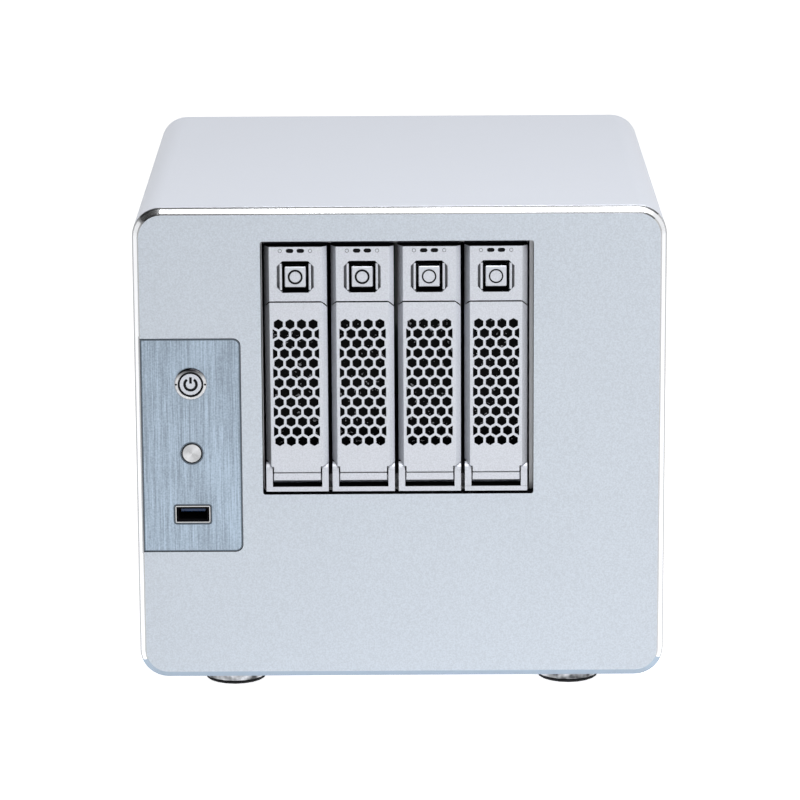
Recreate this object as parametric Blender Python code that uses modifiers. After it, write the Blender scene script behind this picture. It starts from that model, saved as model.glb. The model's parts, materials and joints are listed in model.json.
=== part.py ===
"""Four-bay desktop network attached storage.

Run in Blender 4.5 as a script.  Units are metres.  +X is to the right of the front, +Y points to
the rear and +Z up.  The origin is centred under the feet.

The cabinet is an extruded aluminium sleeve closed by a milled front panel and a sheet rear panel.
Inside hang a drive cage with four trays, a backplane and a fan behind them.  A small mainboard lies
on the floor below the cage and a slim power supply stands beside it.
"""

from math import asin, atan2, cos, pi, radians, sin, sqrt, tan

import bmesh
import bpy
from mathutils import Matrix, Vector

# --------------------------------------------------------------------------------------------------
# Driving dimensions
# --------------------------------------------------------------------------------------------------

SEAM = 0.0003                   # between pieces that rest on each other
OVERLAP = 0.0004                # how far shapes reach into each other before they are joined
OVERSHOOT = 0.002               # how far a cutter reaches past the surface it opens
FLATNESS = radians(0.05)        # faces that lie flatter than this to each other are merged
WELD_DISTANCE = 0.000005        # corners nearer than this are one
BEVEL_ANGLE = radians(50)       # edges sharper than this are bevelled
SMOOTH_ANGLE = radians(35)      # edges flatter than this are shaded smooth
WALL_LEAN = 0.5                 # a wall's normal has less than this along the direction it is drawn in

# 3.5 inch hard disk drive, standing on its long side
DRIVE_LENGTH = 0.147
DRIVE_HEIGHT = 0.1016
DRIVE_THICKNESS = 0.0261
DRIVE_COVER_THICKNESS = 0.0012
DRIVE_COVER_MARGIN = 0.004
DRIVE_CORNER = 0.003
DRIVE_COVER_RADIUS = 0.006
DRIVE_PLUG_LENGTH = 0.034
DRIVE_PLUG_WIDTH = 0.0048
DRIVE_PLUG_DEPTH = 0.0060
DRIVE_PLUG_INSET = 0.003        # from the drive's flat lower face
DRIVE_PLUG_HEIGHT = 0.034       # centre of the plug above the drive's lower side

# Drive tray
BAY_COUNT = 4
BAY_GAP = 0.0017
TRAY_WIDTH = 0.0271
TRAY_RAIL_THICKNESS = 0.0034
TRAY_RAIL_WIDTH = 0.0248
TRAY_RAIL_END_CHAMFER = 0.002
TRAY_BEVEL_WIDTH = 0.0023
TRAY_LEFT_BEVEL_DEPTH = 0.0045
TRAY_RIGHT_BEVEL_DEPTH = 0.0022
TRAY_TOP_RELIEF = 0.0004        # head block below the top of the rails
TRAY_FRONT_DEPTH = 0.014
TRAY_RING_DEPTH = 0.004
TRAY_RING_WIDTH = 0.0024
TRAY_RING_RADIUS = 0.002
TRAY_SETBACK = 0.0005           # tray face behind the front face of the cabinet
TRAY_HEAD_HEIGHT = 0.0243       # fixed block above the lever
TRAY_BAR_HEIGHT = 0.0021
TRAY_POST_WIDTH = 0.0028
STATUS_WINDOW_LENGTH = 0.0033
STATUS_WINDOW_HEIGHT = 0.0018
STATUS_WINDOW_DEPTH = 0.0025
STATUS_WINDOW_SPACING = 0.0046
STATUS_WINDOW_ROUNDING = 0.98   # corner radius as a share of half the height
STATUS_WINDOW_DROP = 0.00215    # centre below the top of the tray

# Tray lever with its perforated face
HINGE_HEIGHT = 0.0085           # hinge axis above the tray's lower edge
HINGE_DEPTH = 0.0045            # hinge axis behind the tray's face
KNUCKLE_RADIUS = 0.0038
LUG_RADIUS = 0.0043
LUG_CLEARANCE = 0.00045
HINGE_PIN_RADIUS = 0.0011
HINGE_PIN_CLEARANCE = 0.0003
LEVER_WALL = 0.0015
LEVER_DEPTH = 0.0075
LEVER_TOP_GAP = 0.0006          # between the lever and the head block
LEVER_SIDE_GAP = 0.0006         # between the lever's foot and the posts
LEVER_LIP_DROP = 0.0034         # lip below the hinge axis
LEVER_FOLD_WIDTH = 0.0006       # groove between the lever's face and its lip
LEVER_SHOULDER_INNER = 0.0026   # shoulders above the hinge axis, at the posts' inner and outer sides
LEVER_SHOULDER_OUTER = 0.0036
HOLE_PITCH = 0.0050
HOLE_WIDTH = 0.0039             # across flats
HOLE_ROWS = 13
HOLES_PER_ROW = 4
HOLE_FIELD_TOP = 0.0095         # centre of the top row below the lever's upper edge

# Release button in the head of the tray
RELEASE_WIDTH = 0.0090
RELEASE_HEIGHT = 0.0090
RELEASE_DEPTH = 0.0095
RELEASE_DROP = 0.0136           # centre below the top of the tray
RELEASE_TRAVEL = 0.002
RELEASE_CLEARANCE = 0.0004
RELEASE_EDGE = 0.0003
RECESS_WIDTH = 0.0158
RECESS_HEIGHT = 0.0139
RECESS_DEPTH = 0.0035
RECESS_CORNER = 0.0024
RIB_OFFSET = 0.0063             # finger ribs at each side of the button, from its middle
RIB_WIDTH = 0.0013
RIB_LENGTH = 0.0116
RIB_SETBACK = 0.0002            # behind the tray's face
RELEASE_RING_RADIUS = 0.0029
RELEASE_RING_WIDTH = 0.0006
RELEASE_RING_DEPTH = 0.0004

# Cage
CAGE_SIDE_GAP = 0.00105
CAGE_WALL = 0.0020
CAGE_FLANGE = 0.012
GUIDE_HEIGHT = 0.0030
GUIDE_CLEARANCE = 0.0004
GUIDE_SETBACK = 0.006           # guide ribs start behind the rear of the tray front

# Backplane
PLUG_GAP = 0.0003
SOCKET_DEPTH = 0.0072
SOCKET_LENGTH = 0.042
SOCKET_WIDTH = 0.0062
SOCKET_SLIT_WIDTH = 0.0016
SOCKET_SLIT_MARGIN = 0.004
BACKPLANE_THICKNESS = 0.0016
BACKPLANE_TAIL = 0.002          # cage plates reach this far past the board
BACKPLANE_SLOT_WIDTH = 0.010
BACKPLANE_SLOT_LENGTH = 0.080
BACKPLANE_SLOT_ROUNDING = 0.9   # corner radius as a share of half the width

# Cabinet
LEFT_SPACE = 0.05655            # from the cabinet's side to the row of trays
RIGHT_SPACE = 0.05995
BASE_SPACE = 0.0845             # from the underside to the trays
TOP_SPACE = 0.01655
CABLE_SPACE = 0.0364            # between backplane and fan
CORNER_RADIUS = 0.0125
FRONT_CHAMFER = 0.00285
PANEL_RIM = 0.00325             # thickness of the panel outside the sleeve
PANEL_THICKNESS = 0.008
SLEEVE_WALL = 0.0025
SCREW_RIB_RADIUS = 0.004
SCREW_RIB_SINK = 0.0012         # how far the ribs grow out of the rounded corners
REAR_PANEL_THICKNESS = 0.0015
REAR_PANEL_RECESS = 0.001
WINDOW_LEFT_GAP = 0.00145
WINDOW_RIGHT_GAP = 0.00265
WINDOW_BOTTOM_GAP = 0.0012
WINDOW_TOP_GAP = 0.00205
WINDOW_RADIUS = 0.0010

# Control plate and what it carries
PLATE_WIDTH = 0.0430
PLATE_HEIGHT = 0.0949
PLATE_THICKNESS = 0.0015
PLATE_RADIUS = 0.003
PLATE_BOTTOM = 0.0579           # above the cabinet's underside
POWER_HEIGHT = 0.0751           # heights above the plate's lower edge
RESET_HEIGHT = 0.0441
USB_HEIGHT = 0.0167
BEZEL_RADIUS = 0.0071
BEZEL_PROUD = 0.0012
BEZEL_BODY_RADIUS = 0.0060
BEZEL_BODY_LENGTH = 0.020
BEZEL_EDGE = 0.0006
POWER_NUT_RADIUS = 0.0085
POWER_NUT_THICKNESS = 0.0025
POWER_CAP_RADIUS = 0.0053
POWER_CAP_THICKNESS = 0.0032
POWER_CAP_SETBACK = 0.0003      # cap face behind the bezel's face
POWER_TRAVEL = 0.0015
CAP_CLEARANCE = 0.0003
RESET_CAP_RADIUS = 0.0043
RESET_CAP_THICKNESS = 0.0015
RESET_STEM_RADIUS = 0.0018
RESET_TRAVEL = 0.0008
USB_OPENING_WIDTH = 0.0125
USB_OPENING_HEIGHT = 0.0051
USB_CORNER = 0.0006
USB_SHELL_WALL = 0.0005
USB_LIP_WIDTH = 0.0152
USB_LIP_HEIGHT = 0.0076
USB_LIP_THICKNESS = 0.0008
USB_LENGTH = 0.0140
USB_TONGUE_WIDTH = 0.0111
USB_TONGUE_THICKNESS = 0.0018
USB_TONGUE_LENGTH = 0.0088
USB_TONGUE_EDGE = 0.0003
USB_TONGUE_DROP = 0.0007        # tongue below the top of the opening
IO_BOARD_WIDTH = 0.020
IO_BOARD_THICKNESS = 0.0016
IO_BOARD_MARGIN = 0.008         # board beyond the centres of its port and its switch
IO_SWITCH_SIZE = 0.006
IO_BOSS_RADIUS = 0.0028
IO_BOSS_OFFSET = 0.0055         # bosses above and below the middle between port and switch

# Fans
REAR_FAN_SIZE = 0.092
REAR_FAN_DEPTH = 0.025
REAR_FAN_HUB = 0.0185
REAR_FAN_BLADES = 7
SUPPLY_FAN_SIZE = 0.039
SUPPLY_FAN_DEPTH = 0.014
SUPPLY_FAN_HUB = 0.0095
SUPPLY_FAN_BLADES = 5
FAN_RIM = 0.002                 # frame between the bore and the side
FAN_TIP_GAP = 0.0008
FAN_CORNER = 0.004
FAN_STRUT_THICKNESS = 0.003
FAN_STRUT_WIDTH = 0.004
FAN_SCREW_INSET = 0.005
FAN_SCREW_RADIUS = 0.0022
FAN_STRUT_REACH = 0.0008        # how far the struts reach into the frame
BLADE_THICKNESS = 0.0014
BLADE_ROOT = 0.8                # where a blade starts, as a share of the hub's radius
BLADE_SPREAD = 0.62             # share of the pitch that a blade covers
BLADE_SWEEP = 0.28              # turn of a blade's tip against its root, in radians
BLADE_LIFT = 0.18               # share of the rotor's depth below a blade, and that it climbs through
BLADE_CLIMB = 0.64

# Fan outlet in the rear panel
VENT_RINGS = 4
VENT_SPOKE_WIDTH = 0.004
VENT_SLOT_WIDTH = 0.0075
VENT_RIB_WIDTH = 0.0022

# Mainboard and what it carries
BOARD_SIZE = 0.170
BOARD_THICKNESS = 0.0016
BOARD_STANDOFF = 0.0065
BOARD_HOLE_INSET = 0.0075
BOARD_REAR_GAP = 0.0020         # board edge to rear panel
STANDOFF_RADIUS = 0.003
COOLER_BASE_SIZE = 0.080
COOLER_BASE_THICKNESS = 0.004
COOLER_FIN_HEIGHT = 0.026
COOLER_FIN_COUNT = 13
COOLER_FIN_THICKNESS = 0.0016
PROCESSOR_SIZE = 0.038
PROCESSOR_HEIGHT = 0.0065
MEMORY_LENGTH = 0.1333
MEMORY_HEIGHT = 0.030
MEMORY_THICKNESS = 0.0014
MEMORY_SEAT = 0.004
MEMORY_SOCKET_WIDTH = 0.0064
MEMORY_SOCKET_HEIGHT = 0.0075
MEMORY_SOCKET_END = 0.004       # socket past each end of the module
MEMORY_CHIP_COUNT = 8
MEMORY_CHIP_FILL = 0.7          # share of the pitch that a chip covers
MEMORY_CHIP_THICKNESS = 0.001
MEMORY_CHIP_LOW = 0.009         # above the module's lower edge
MEMORY_CHIP_HIGH = 0.021
HEADER_SETBACK = 0.004          # connectors behind the board's front edge
HEADER_DEPTH = 0.010
POWER_HEADER_START = 0.006      # from the board's left side
POWER_HEADER_LENGTH = 0.052
POWER_HEADER_HEIGHT = 0.013
DATA_HEADER_START = 0.089
DATA_HEADER_LENGTH = 0.030
DATA_HEADER_HEIGHT = 0.009
MEMORY_OFFSET = 0.062           # module to the right of the board's centre
IO_SHIELD_WIDTH = 0.1587
IO_SHIELD_HEIGHT = 0.0444
IO_SHIELD_THICKNESS = 0.0008
IO_SHIELD_DROP = 0.0022         # lower edge below the board's upper side
PORT_PROUD = 0.0003             # ports past the shield
LAN_WIDTH = 0.016
LAN_HEIGHT = 0.0135
LAN_LENGTH = 0.021
LAN_SOCKET_WIDTH = 0.0118
LAN_SOCKET_HEIGHT = 0.0080
LAN_SOCKET_DEPTH = 0.013
LAN_LATCH_STEP = 0.0020
LAN_LATCH_DEPTH = 0.0104
LAN_SPACING = 0.022
STACK_WIDTH = 0.0146
STACK_HEIGHT = 0.0158
STACK_LENGTH = 0.0175
STACK_SOCKET_DEPTH = 0.011
VIDEO_WIDTH = 0.016
VIDEO_HEIGHT = 0.0066
VIDEO_LENGTH = 0.012
VIDEO_SOCKET_WIDTH = 0.014
VIDEO_SOCKET_HEIGHT = 0.0045
PORT_TONGUE_SETBACK = 0.002
VIDEO_SOCKET_DEPTH = 0.0084
VIDEO_SOCKET_CORNER = 0.0018
VIDEO_TONGUE_WIDTH = 0.0098
VIDEO_TONGUE_THICKNESS = 0.001
PORT_ROW_START = 0.052          # first network port to the left of the board's centre, seen from the front

# Power supply
SUPPLY_WIDTH = 0.0405
SUPPLY_HEIGHT = 0.0815
SUPPLY_LENGTH = 0.150
SUPPLY_EDGE = 0.0008
SUPPLY_AIR = 0.007              # between the supply and the sleeve's side
SUPPLY_RAISE = 0.084            # lower side above the cabinet's underside
SUPPLY_WINDOW_MARGIN = 0.0012   # rear panel over the supply's edge
SUPPLY_WINDOW_RADIUS = 0.0015
SUPPLY_FAN_HEIGHT = 0.0600      # heights above the supply's lower side
INLET_HEIGHT = 0.0275
ROCKER_HEIGHT = 0.0095
INLET_WIDTH = 0.027
INLET_TALL = 0.0198
INLET_LENGTH = 0.020
INLET_WALL = 0.0015
INLET_SOCKET_DEPTH = 0.015
INLET_CORNER = 0.004
BLADE_CONTACT_WIDTH = 0.002
BLADE_CONTACT_HEIGHT = 0.004
BLADE_CONTACT_LENGTH = 0.011
BLADE_CONTACT_SPACING = 0.007
EARTH_CONTACT_RAISE = 0.002      # contacts above and below the inlet's middle
LIVE_CONTACT_DROP = 0.001
ROCKER_LENGTH = 0.0145
ROCKER_WIDTH = 0.0085
ROCKER_DEPTH = 0.0060
ROCKER_EDGE_DEPTH = 0.0036      # depth at the rocker's two ends
ROCKER_AXIS_DEPTH = 0.0040
ROCKER_TILT = radians(7)
ROCKER_CLEARANCE = 0.0006

# Feet
FOOT_RADIUS = 0.01425
FOOT_HEIGHT = 0.0092
FOOT_METAL_HEIGHT = 0.0074
FOOT_PAD_RADIUS = 0.0136
FOOT_EDGE = 0.0006
FOOT_SIDE_OFFSET = 0.0408       # foot centre from the cabinet's side
FOOT_FRONT_OFFSET = 0.0330
FOOT_REAR_OFFSET = 0.0350

# --------------------------------------------------------------------------------------------------
# Places that follow from them
# --------------------------------------------------------------------------------------------------

BAY_PITCH = TRAY_WIDTH + BAY_GAP
ROW_WIDTH = BAY_COUNT * TRAY_WIDTH + (BAY_COUNT - 1) * BAY_GAP
TRAY_HEIGHT = DRIVE_HEIGHT + 2 * (TRAY_RAIL_THICKNESS + SEAM)

BODY_WIDTH = LEFT_SPACE + ROW_WIDTH + RIGHT_SPACE
BODY_HEIGHT = BASE_SPACE + TRAY_HEIGHT + TOP_SPACE
BACKPLANE_FRONT = TRAY_SETBACK + TRAY_FRONT_DEPTH + SEAM + DRIVE_LENGTH + PLUG_GAP + SOCKET_DEPTH + SEAM
REAR_SKIN = REAR_PANEL_THICKNESS + REAR_PANEL_RECESS
BODY_DEPTH = (BACKPLANE_FRONT + BACKPLANE_THICKNESS + CABLE_SPACE + REAR_FAN_DEPTH + SEAM + REAR_SKIN)

FRONT = (BEZEL_PROUD - BODY_DEPTH) / 2
BACK = FRONT + BODY_DEPTH
LEFT = -BODY_WIDTH / 2
RIGHT = BODY_WIDTH / 2
UNDERSIDE = FOOT_HEIGHT
TOP = UNDERSIDE + BODY_HEIGHT

ROW_LEFT = LEFT + LEFT_SPACE
ROW_RIGHT = ROW_LEFT + ROW_WIDTH
ROW_CENTRE = (ROW_LEFT + ROW_RIGHT) / 2
BAY_FLOOR = UNDERSIDE + BASE_SPACE
BAY_TOP = BAY_FLOOR + TRAY_HEIGHT
BAY_MIDDLE = (BAY_FLOOR + BAY_TOP) / 2
TRAY_FACE = FRONT + TRAY_SETBACK
PANEL_BACK = FRONT + PANEL_THICKNESS
REAR_PANEL_FRONT = BACK - REAR_SKIN
BACKPLANE_Y = FRONT + BACKPLANE_FRONT
CAGE_BACK = BACKPLANE_Y + BACKPLANE_THICKNESS + BACKPLANE_TAIL

CAGE_LEFT = ROW_LEFT - CAGE_SIDE_GAP
CAGE_RIGHT = ROW_RIGHT + CAGE_SIDE_GAP
LEVER_HEIGHT = TRAY_HEIGHT - TRAY_HEAD_HEIGHT - HINGE_HEIGHT - LEVER_TOP_GAP   # from the hinge axis

PLATE_LEFT = LEFT + FRONT_CHAMFER
CONTROL_X = PLATE_LEFT + PLATE_WIDTH / 2
PLATE_Z = UNDERSIDE + PLATE_BOTTOM
POWER_Z = PLATE_Z + POWER_HEIGHT
RESET_Z = PLATE_Z + RESET_HEIGHT
USB_Z = PLATE_Z + USB_HEIGHT
IO_BOARD_Y = FRONT + USB_LENGTH + SEAM
IO_BOARD_Z = (RESET_Z + USB_Z) / 2

BOARD_BOTTOM = UNDERSIDE + SLEEVE_WALL + BOARD_STANDOFF
BOARD_TOP = BOARD_BOTTOM + BOARD_THICKNESS
BOARD_BACK = REAR_PANEL_FRONT - BOARD_REAR_GAP
BOARD_Y = BOARD_BACK - BOARD_SIZE / 2
PORT_BACK = REAR_PANEL_FRONT + REAR_PANEL_THICKNESS + PORT_PROUD
SHIELD_BOTTOM = BOARD_TOP - IO_SHIELD_DROP

SUPPLY_X = RIGHT - SLEEVE_WALL - SUPPLY_AIR - SUPPLY_WIDTH / 2
SUPPLY_BOTTOM = UNDERSIDE + SUPPLY_RAISE
SUPPLY_BACK = REAR_PANEL_FRONT - SEAM

# --------------------------------------------------------------------------------------------------
# Modelling helpers
# --------------------------------------------------------------------------------------------------

PARTS = "network_attached_storage"
CUTTERS = "network_attached_storage_cutters"

# Turns an outline drawn in a curve's own plane into the plane named, extruded along the third axis.
PLANES = {
    "XY": Matrix.Identity(4),
    "XZ": Matrix.Rotation(pi / 2, 4, "X"),
    "YZ": Matrix(((0, 0, 1, 0), (1, 0, 0, 0), (0, 1, 0, 0), (0, 0, 0, 1))),
}
# Turns the Z axis into the axis named.
AXES = {
    "X": Matrix.Rotation(pi / 2, 4, "Y"),
    "Y": Matrix.Rotation(-pi / 2, 4, "X"),
    "Z": Matrix.Identity(4),
}


def clear_scene():
    """Remove every object, and make the collections for the parts and for the cutters."""
    for old in list(bpy.data.objects):
        bpy.data.objects.remove(old, do_unlink=True)
    for name in (PARTS, CUTTERS):
        collection = bpy.data.collections.new(name)
        bpy.context.scene.collection.children.link(collection)


def material(name, colour, roughness, metallic=0.0):
    """A plain Principled material."""
    made = bpy.data.materials.new(name)
    made.use_nodes = True
    shader = made.node_tree.nodes["Principled BSDF"]
    shader.inputs["Base Color"].default_value = (*colour, 1.0)
    shader.inputs["Roughness"].default_value = roughness
    shader.inputs["Metallic"].default_value = metallic
    made.diffuse_color = (*colour, 1.0)
    return made


def shape(name, mesh):
    """Put a mesh in the scene as a cutter or a raw shape, out of the render."""
    item = bpy.data.objects.new(name, mesh)
    bpy.data.collections[CUTTERS].objects.link(item)
    item.hide_render = True
    item.display_type = "WIRE"
    return item


def mesh_from(bm, name):
    """Turn a bmesh into mesh data."""
    mesh = bpy.data.meshes.new(name)
    bm.to_mesh(mesh)
    bm.free()
    return mesh


def evaluated_mesh(item):
    """The mesh of an object with its modifiers applied."""
    bpy.context.view_layer.update()
    graph = bpy.context.evaluated_depsgraph_get()
    return bpy.data.meshes.new_from_object(item.evaluated_get(graph), depsgraph=graph)


def weld(mesh):
    """Close a mesh's seams, turn its faces outwards and merge the flat ones."""
    bm = bmesh.new()
    bm.from_mesh(mesh)
    bmesh.ops.remove_doubles(bm, verts=bm.verts, dist=WELD_DISTANCE)
    bmesh.ops.recalc_face_normals(bm, faces=bm.faces)
    bmesh.ops.dissolve_limit(bm, angle_limit=FLATNESS, verts=bm.verts, edges=bm.edges, delimit=set())
    bm.to_mesh(mesh)
    bm.free()
    return mesh


def box(name, low, high):
    """A block between two corners."""
    size = Vector(high) - Vector(low)
    centre = (Vector(high) + Vector(low)) / 2
    bm = bmesh.new()
    bmesh.ops.create_cube(bm, size=1.0, matrix=Matrix.Translation(centre) @ Matrix.Diagonal((*size, 1)))
    return shape(name, mesh_from(bm, name))


def cylinder(name, radius, axis, low, high, centre, segments=24, top_radius=None):
    """A cylinder or cone along an axis from low to high, centred on the other two coordinates."""
    where = {"X": (0, centre[0], centre[1]), "Y": (centre[0], 0, centre[1]), "Z": (*centre, 0)}[axis]
    along = {"X": Vector((1, 0, 0)), "Y": Vector((0, 1, 0)), "Z": Vector((0, 0, 1))}[axis]
    place = Matrix.Translation(Vector(where) + along * (low + high) / 2) @ AXES[axis]
    bm = bmesh.new()
    bmesh.ops.create_cone(bm, cap_ends=True, segments=segments, radius1=radius,
                          radius2=radius if top_radius is None else top_radius,
                          depth=high - low, matrix=place)
    return shape(name, mesh_from(bm, name))


def prism(name, loops, plane, low, high):
    """Flat outlines filled as a 2D curve and extruded from low to high along the plane's normal."""
    curve = bpy.data.curves.new(name, "CURVE")
    curve.dimensions = "2D"
    curve.fill_mode = "BOTH"
    curve.extrude = (high - low) / 2
    for loop in loops:
        spline = curve.splines.new("POLY")
        spline.points.add(len(loop) - 1)
        for point, (across, up) in zip(spline.points, loop):
            point.co = (across, up, 0, 1)
        spline.use_cyclic_u = True
    guide = shape(name + "_outline", curve)
    mesh = evaluated_mesh(guide)
    bpy.data.objects.remove(guide, do_unlink=True)
    normal = PLANES[plane].to_3x3() @ Vector((0, 0, 1))
    middle = (low + high) / 2
    offset = Vector([abs(share) * middle for share in normal])
    mesh.transform(Matrix.Translation(offset) @ PLANES[plane])
    return shape(name, weld(mesh))


def turned(name, profile, axis, centre, steps=24):
    """A solid of revolution: (radius, along) points, from the first end of the axis to the other."""
    bm = bmesh.new()
    spots = [bm.verts.new((radius, 0, along)) for radius, along in profile]
    for first, second in zip(spots, spots[1:]):
        bm.edges.new((first, second))
    item = shape(name + "_profile", mesh_from(bm, name))
    screw = item.modifiers.new("turn", "SCREW")
    screw.axis = "Z"
    screw.steps = steps
    screw.render_steps = steps
    screw.use_merge_vertices = True
    screw.merge_threshold = WELD_DISTANCE
    mesh = evaluated_mesh(item)
    bpy.data.objects.remove(item, do_unlink=True)
    where = {"X": (0, centre[0], centre[1]), "Y": (centre[0], 0, centre[1]), "Z": (*centre, 0)}[axis]
    mesh.transform(Matrix.Translation(Vector(where)) @ AXES[axis])
    return shape(name, weld(mesh))


def combine(item, operation, others):
    """Add an exact Boolean for each of the other shapes."""
    for other in others:
        step = item.modifiers.new(other.name, "BOOLEAN")
        step.operation = operation
        step.solver = "EXACT"
        step.object = other
    return item


def cut(item, *cutters):
    """Take the cutters away from the item."""
    return combine(item, "DIFFERENCE", cutters)


def join(item, *others):
    """Fuse the other shapes with the item."""
    return combine(item, "UNION", others)


def bevel(item, width, segments=1):
    """Break the sharp edges of an item."""
    step = item.modifiers.new("edges", "BEVEL")
    step.width = width
    step.segments = segments
    step.limit_method = "ANGLE"
    step.angle_limit = BEVEL_ANGLE
    return item


def merge_flats(item):
    """Merge neighbouring faces that lie in one plane, as the last step of a shape."""
    step = item.modifiers.new("flats", "DECIMATE")
    step.decimate_type = "DISSOLVE"
    step.angle_limit = FLATNESS
    return item


def finished_mesh(item):
    """Apply an item's modifiers and give its mesh, for pieces that share it."""
    mesh = evaluated_mesh(merge_flats(item))
    mesh.name = item.name + "_solid"
    return mesh


def part(name, source, finish, origin=(0, 0, 0), smooth=False):
    """Make a named piece of the model from a raw shape or from a shared mesh.

    A raw shape is drawn in place and keeps its modifiers.  A shared mesh is drawn about its own
    origin and is moved to the place given.
    """
    if isinstance(source, bpy.types.Mesh):
        item = bpy.data.objects.new(name, source)
        item.location = origin
        bpy.data.collections[PARTS].objects.link(item)
    else:
        item = source
        item.name = name
        bpy.data.collections[CUTTERS].objects.unlink(item)
        bpy.data.collections[PARTS].objects.link(item)
        item.hide_render = False
        item.display_type = "TEXTURED"
        merge_flats(item)
        if any(origin):
            mesh = evaluated_mesh(item)
            item.modifiers.clear()
            mesh.transform(Matrix.Translation(-Vector(origin)))
            item.data = mesh
            item.location = origin
    item.data.materials.clear()
    item.data.materials.append(finish)
    if smooth:
        item.data.shade_smooth()
        item.data.set_sharp_from_angle(angle=SMOOTH_ANGLE)
    return item


def arc(centre, radius, start, end, segments):
    """Points along an arc, both ends included."""
    turn = (end - start) / segments
    return [(centre[0] + radius * cos(start + turn * step), centre[1] + radius * sin(start + turn * step))
            for step in range(segments + 1)]


def rectangle(low, high):
    """The four corners of a rectangle."""
    return [(low[0], low[1]), (high[0], low[1]), (high[0], high[1]), (low[0], high[1])]


def rounded(low, high, radius, segments=6):
    """A rectangle with four round corners."""
    corners = ((high[0] - radius, high[1] - radius, 0.0), (low[0] + radius, high[1] - radius, pi / 2),
               (low[0] + radius, low[1] + radius, pi), (high[0] - radius, low[1] + radius, 3 * pi / 2))
    loop = []
    for across, up, start in corners:
        loop += arc((across, up), radius, start, start + pi / 2, segments)
    return loop


def chamfered(low, high, size):
    """A rectangle with its four corners cut off."""
    return rounded(low, high, size, segments=1)


def circle(centre, radius, segments):
    """A closed ring of points."""
    return arc(centre, radius, 0.0, 2 * pi * (segments - 1) / segments, segments - 1)


def sleeve_outline(inset, segments=8):
    """The cabinet's outline seen from the front, moved inwards by inset."""
    return rounded((LEFT + inset, UNDERSIDE + inset), (RIGHT - inset, TOP - inset),
                   CORNER_RADIUS - inset, segments)


# --------------------------------------------------------------------------------------------------
# Cabinet
# --------------------------------------------------------------------------------------------------


def outer_shell(finish):
    """Extruded sleeve with screw ribs in its corners and standoffs for the mainboard on its floor."""
    start = FRONT + PANEL_RIM + SEAM
    sleeve = prism("outer_shell_raw", [sleeve_outline(0), sleeve_outline(SLEEVE_WALL)], "XZ", start, BACK)
    corner = CORNER_RADIUS - SLEEVE_WALL
    side = CORNER_RADIUS - (corner + SCREW_RIB_SINK - SCREW_RIB_RADIUS) / sqrt(2)
    ribs = [cylinder(f"screw_rib_{number}", SCREW_RIB_RADIUS, "Y", PANEL_BACK + SEAM,
                     REAR_PANEL_FRONT - SEAM, place, segments=10)
            for number, place in enumerate(((LEFT + side, UNDERSIDE + side), (RIGHT - side, UNDERSIDE + side),
                                            (LEFT + side, TOP - side), (RIGHT - side, TOP - side)))]
    reach = BOARD_SIZE / 2 - BOARD_HOLE_INSET
    standoffs = [cylinder(f"standoff_{across}_{along}", STANDOFF_RADIUS, "Z",
                          UNDERSIDE + SLEEVE_WALL - OVERLAP, BOARD_BOTTOM - SEAM,
                          (across * reach, BOARD_Y + along * reach), segments=8)
                 for across in (-1, 1) for along in (-1, 1)]
    return part("outer_shell", join(sleeve, *ribs, *standoffs), finish)


def control_plate_outline(grow):
    """The control plate seen from the front: square corners at the left, round ones at the right."""
    low = (PLATE_LEFT - grow, PLATE_Z - grow)
    high = (PLATE_LEFT + PLATE_WIDTH + grow, PLATE_Z + PLATE_HEIGHT + grow)
    radius = PLATE_RADIUS + grow
    return [low, *arc((high[0] - radius, low[1] + radius), radius, -pi / 2, 0, 6),
            *arc((high[0] - radius, high[1] - radius), radius, 0, pi / 2, 6), (low[0], high[1])]


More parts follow.
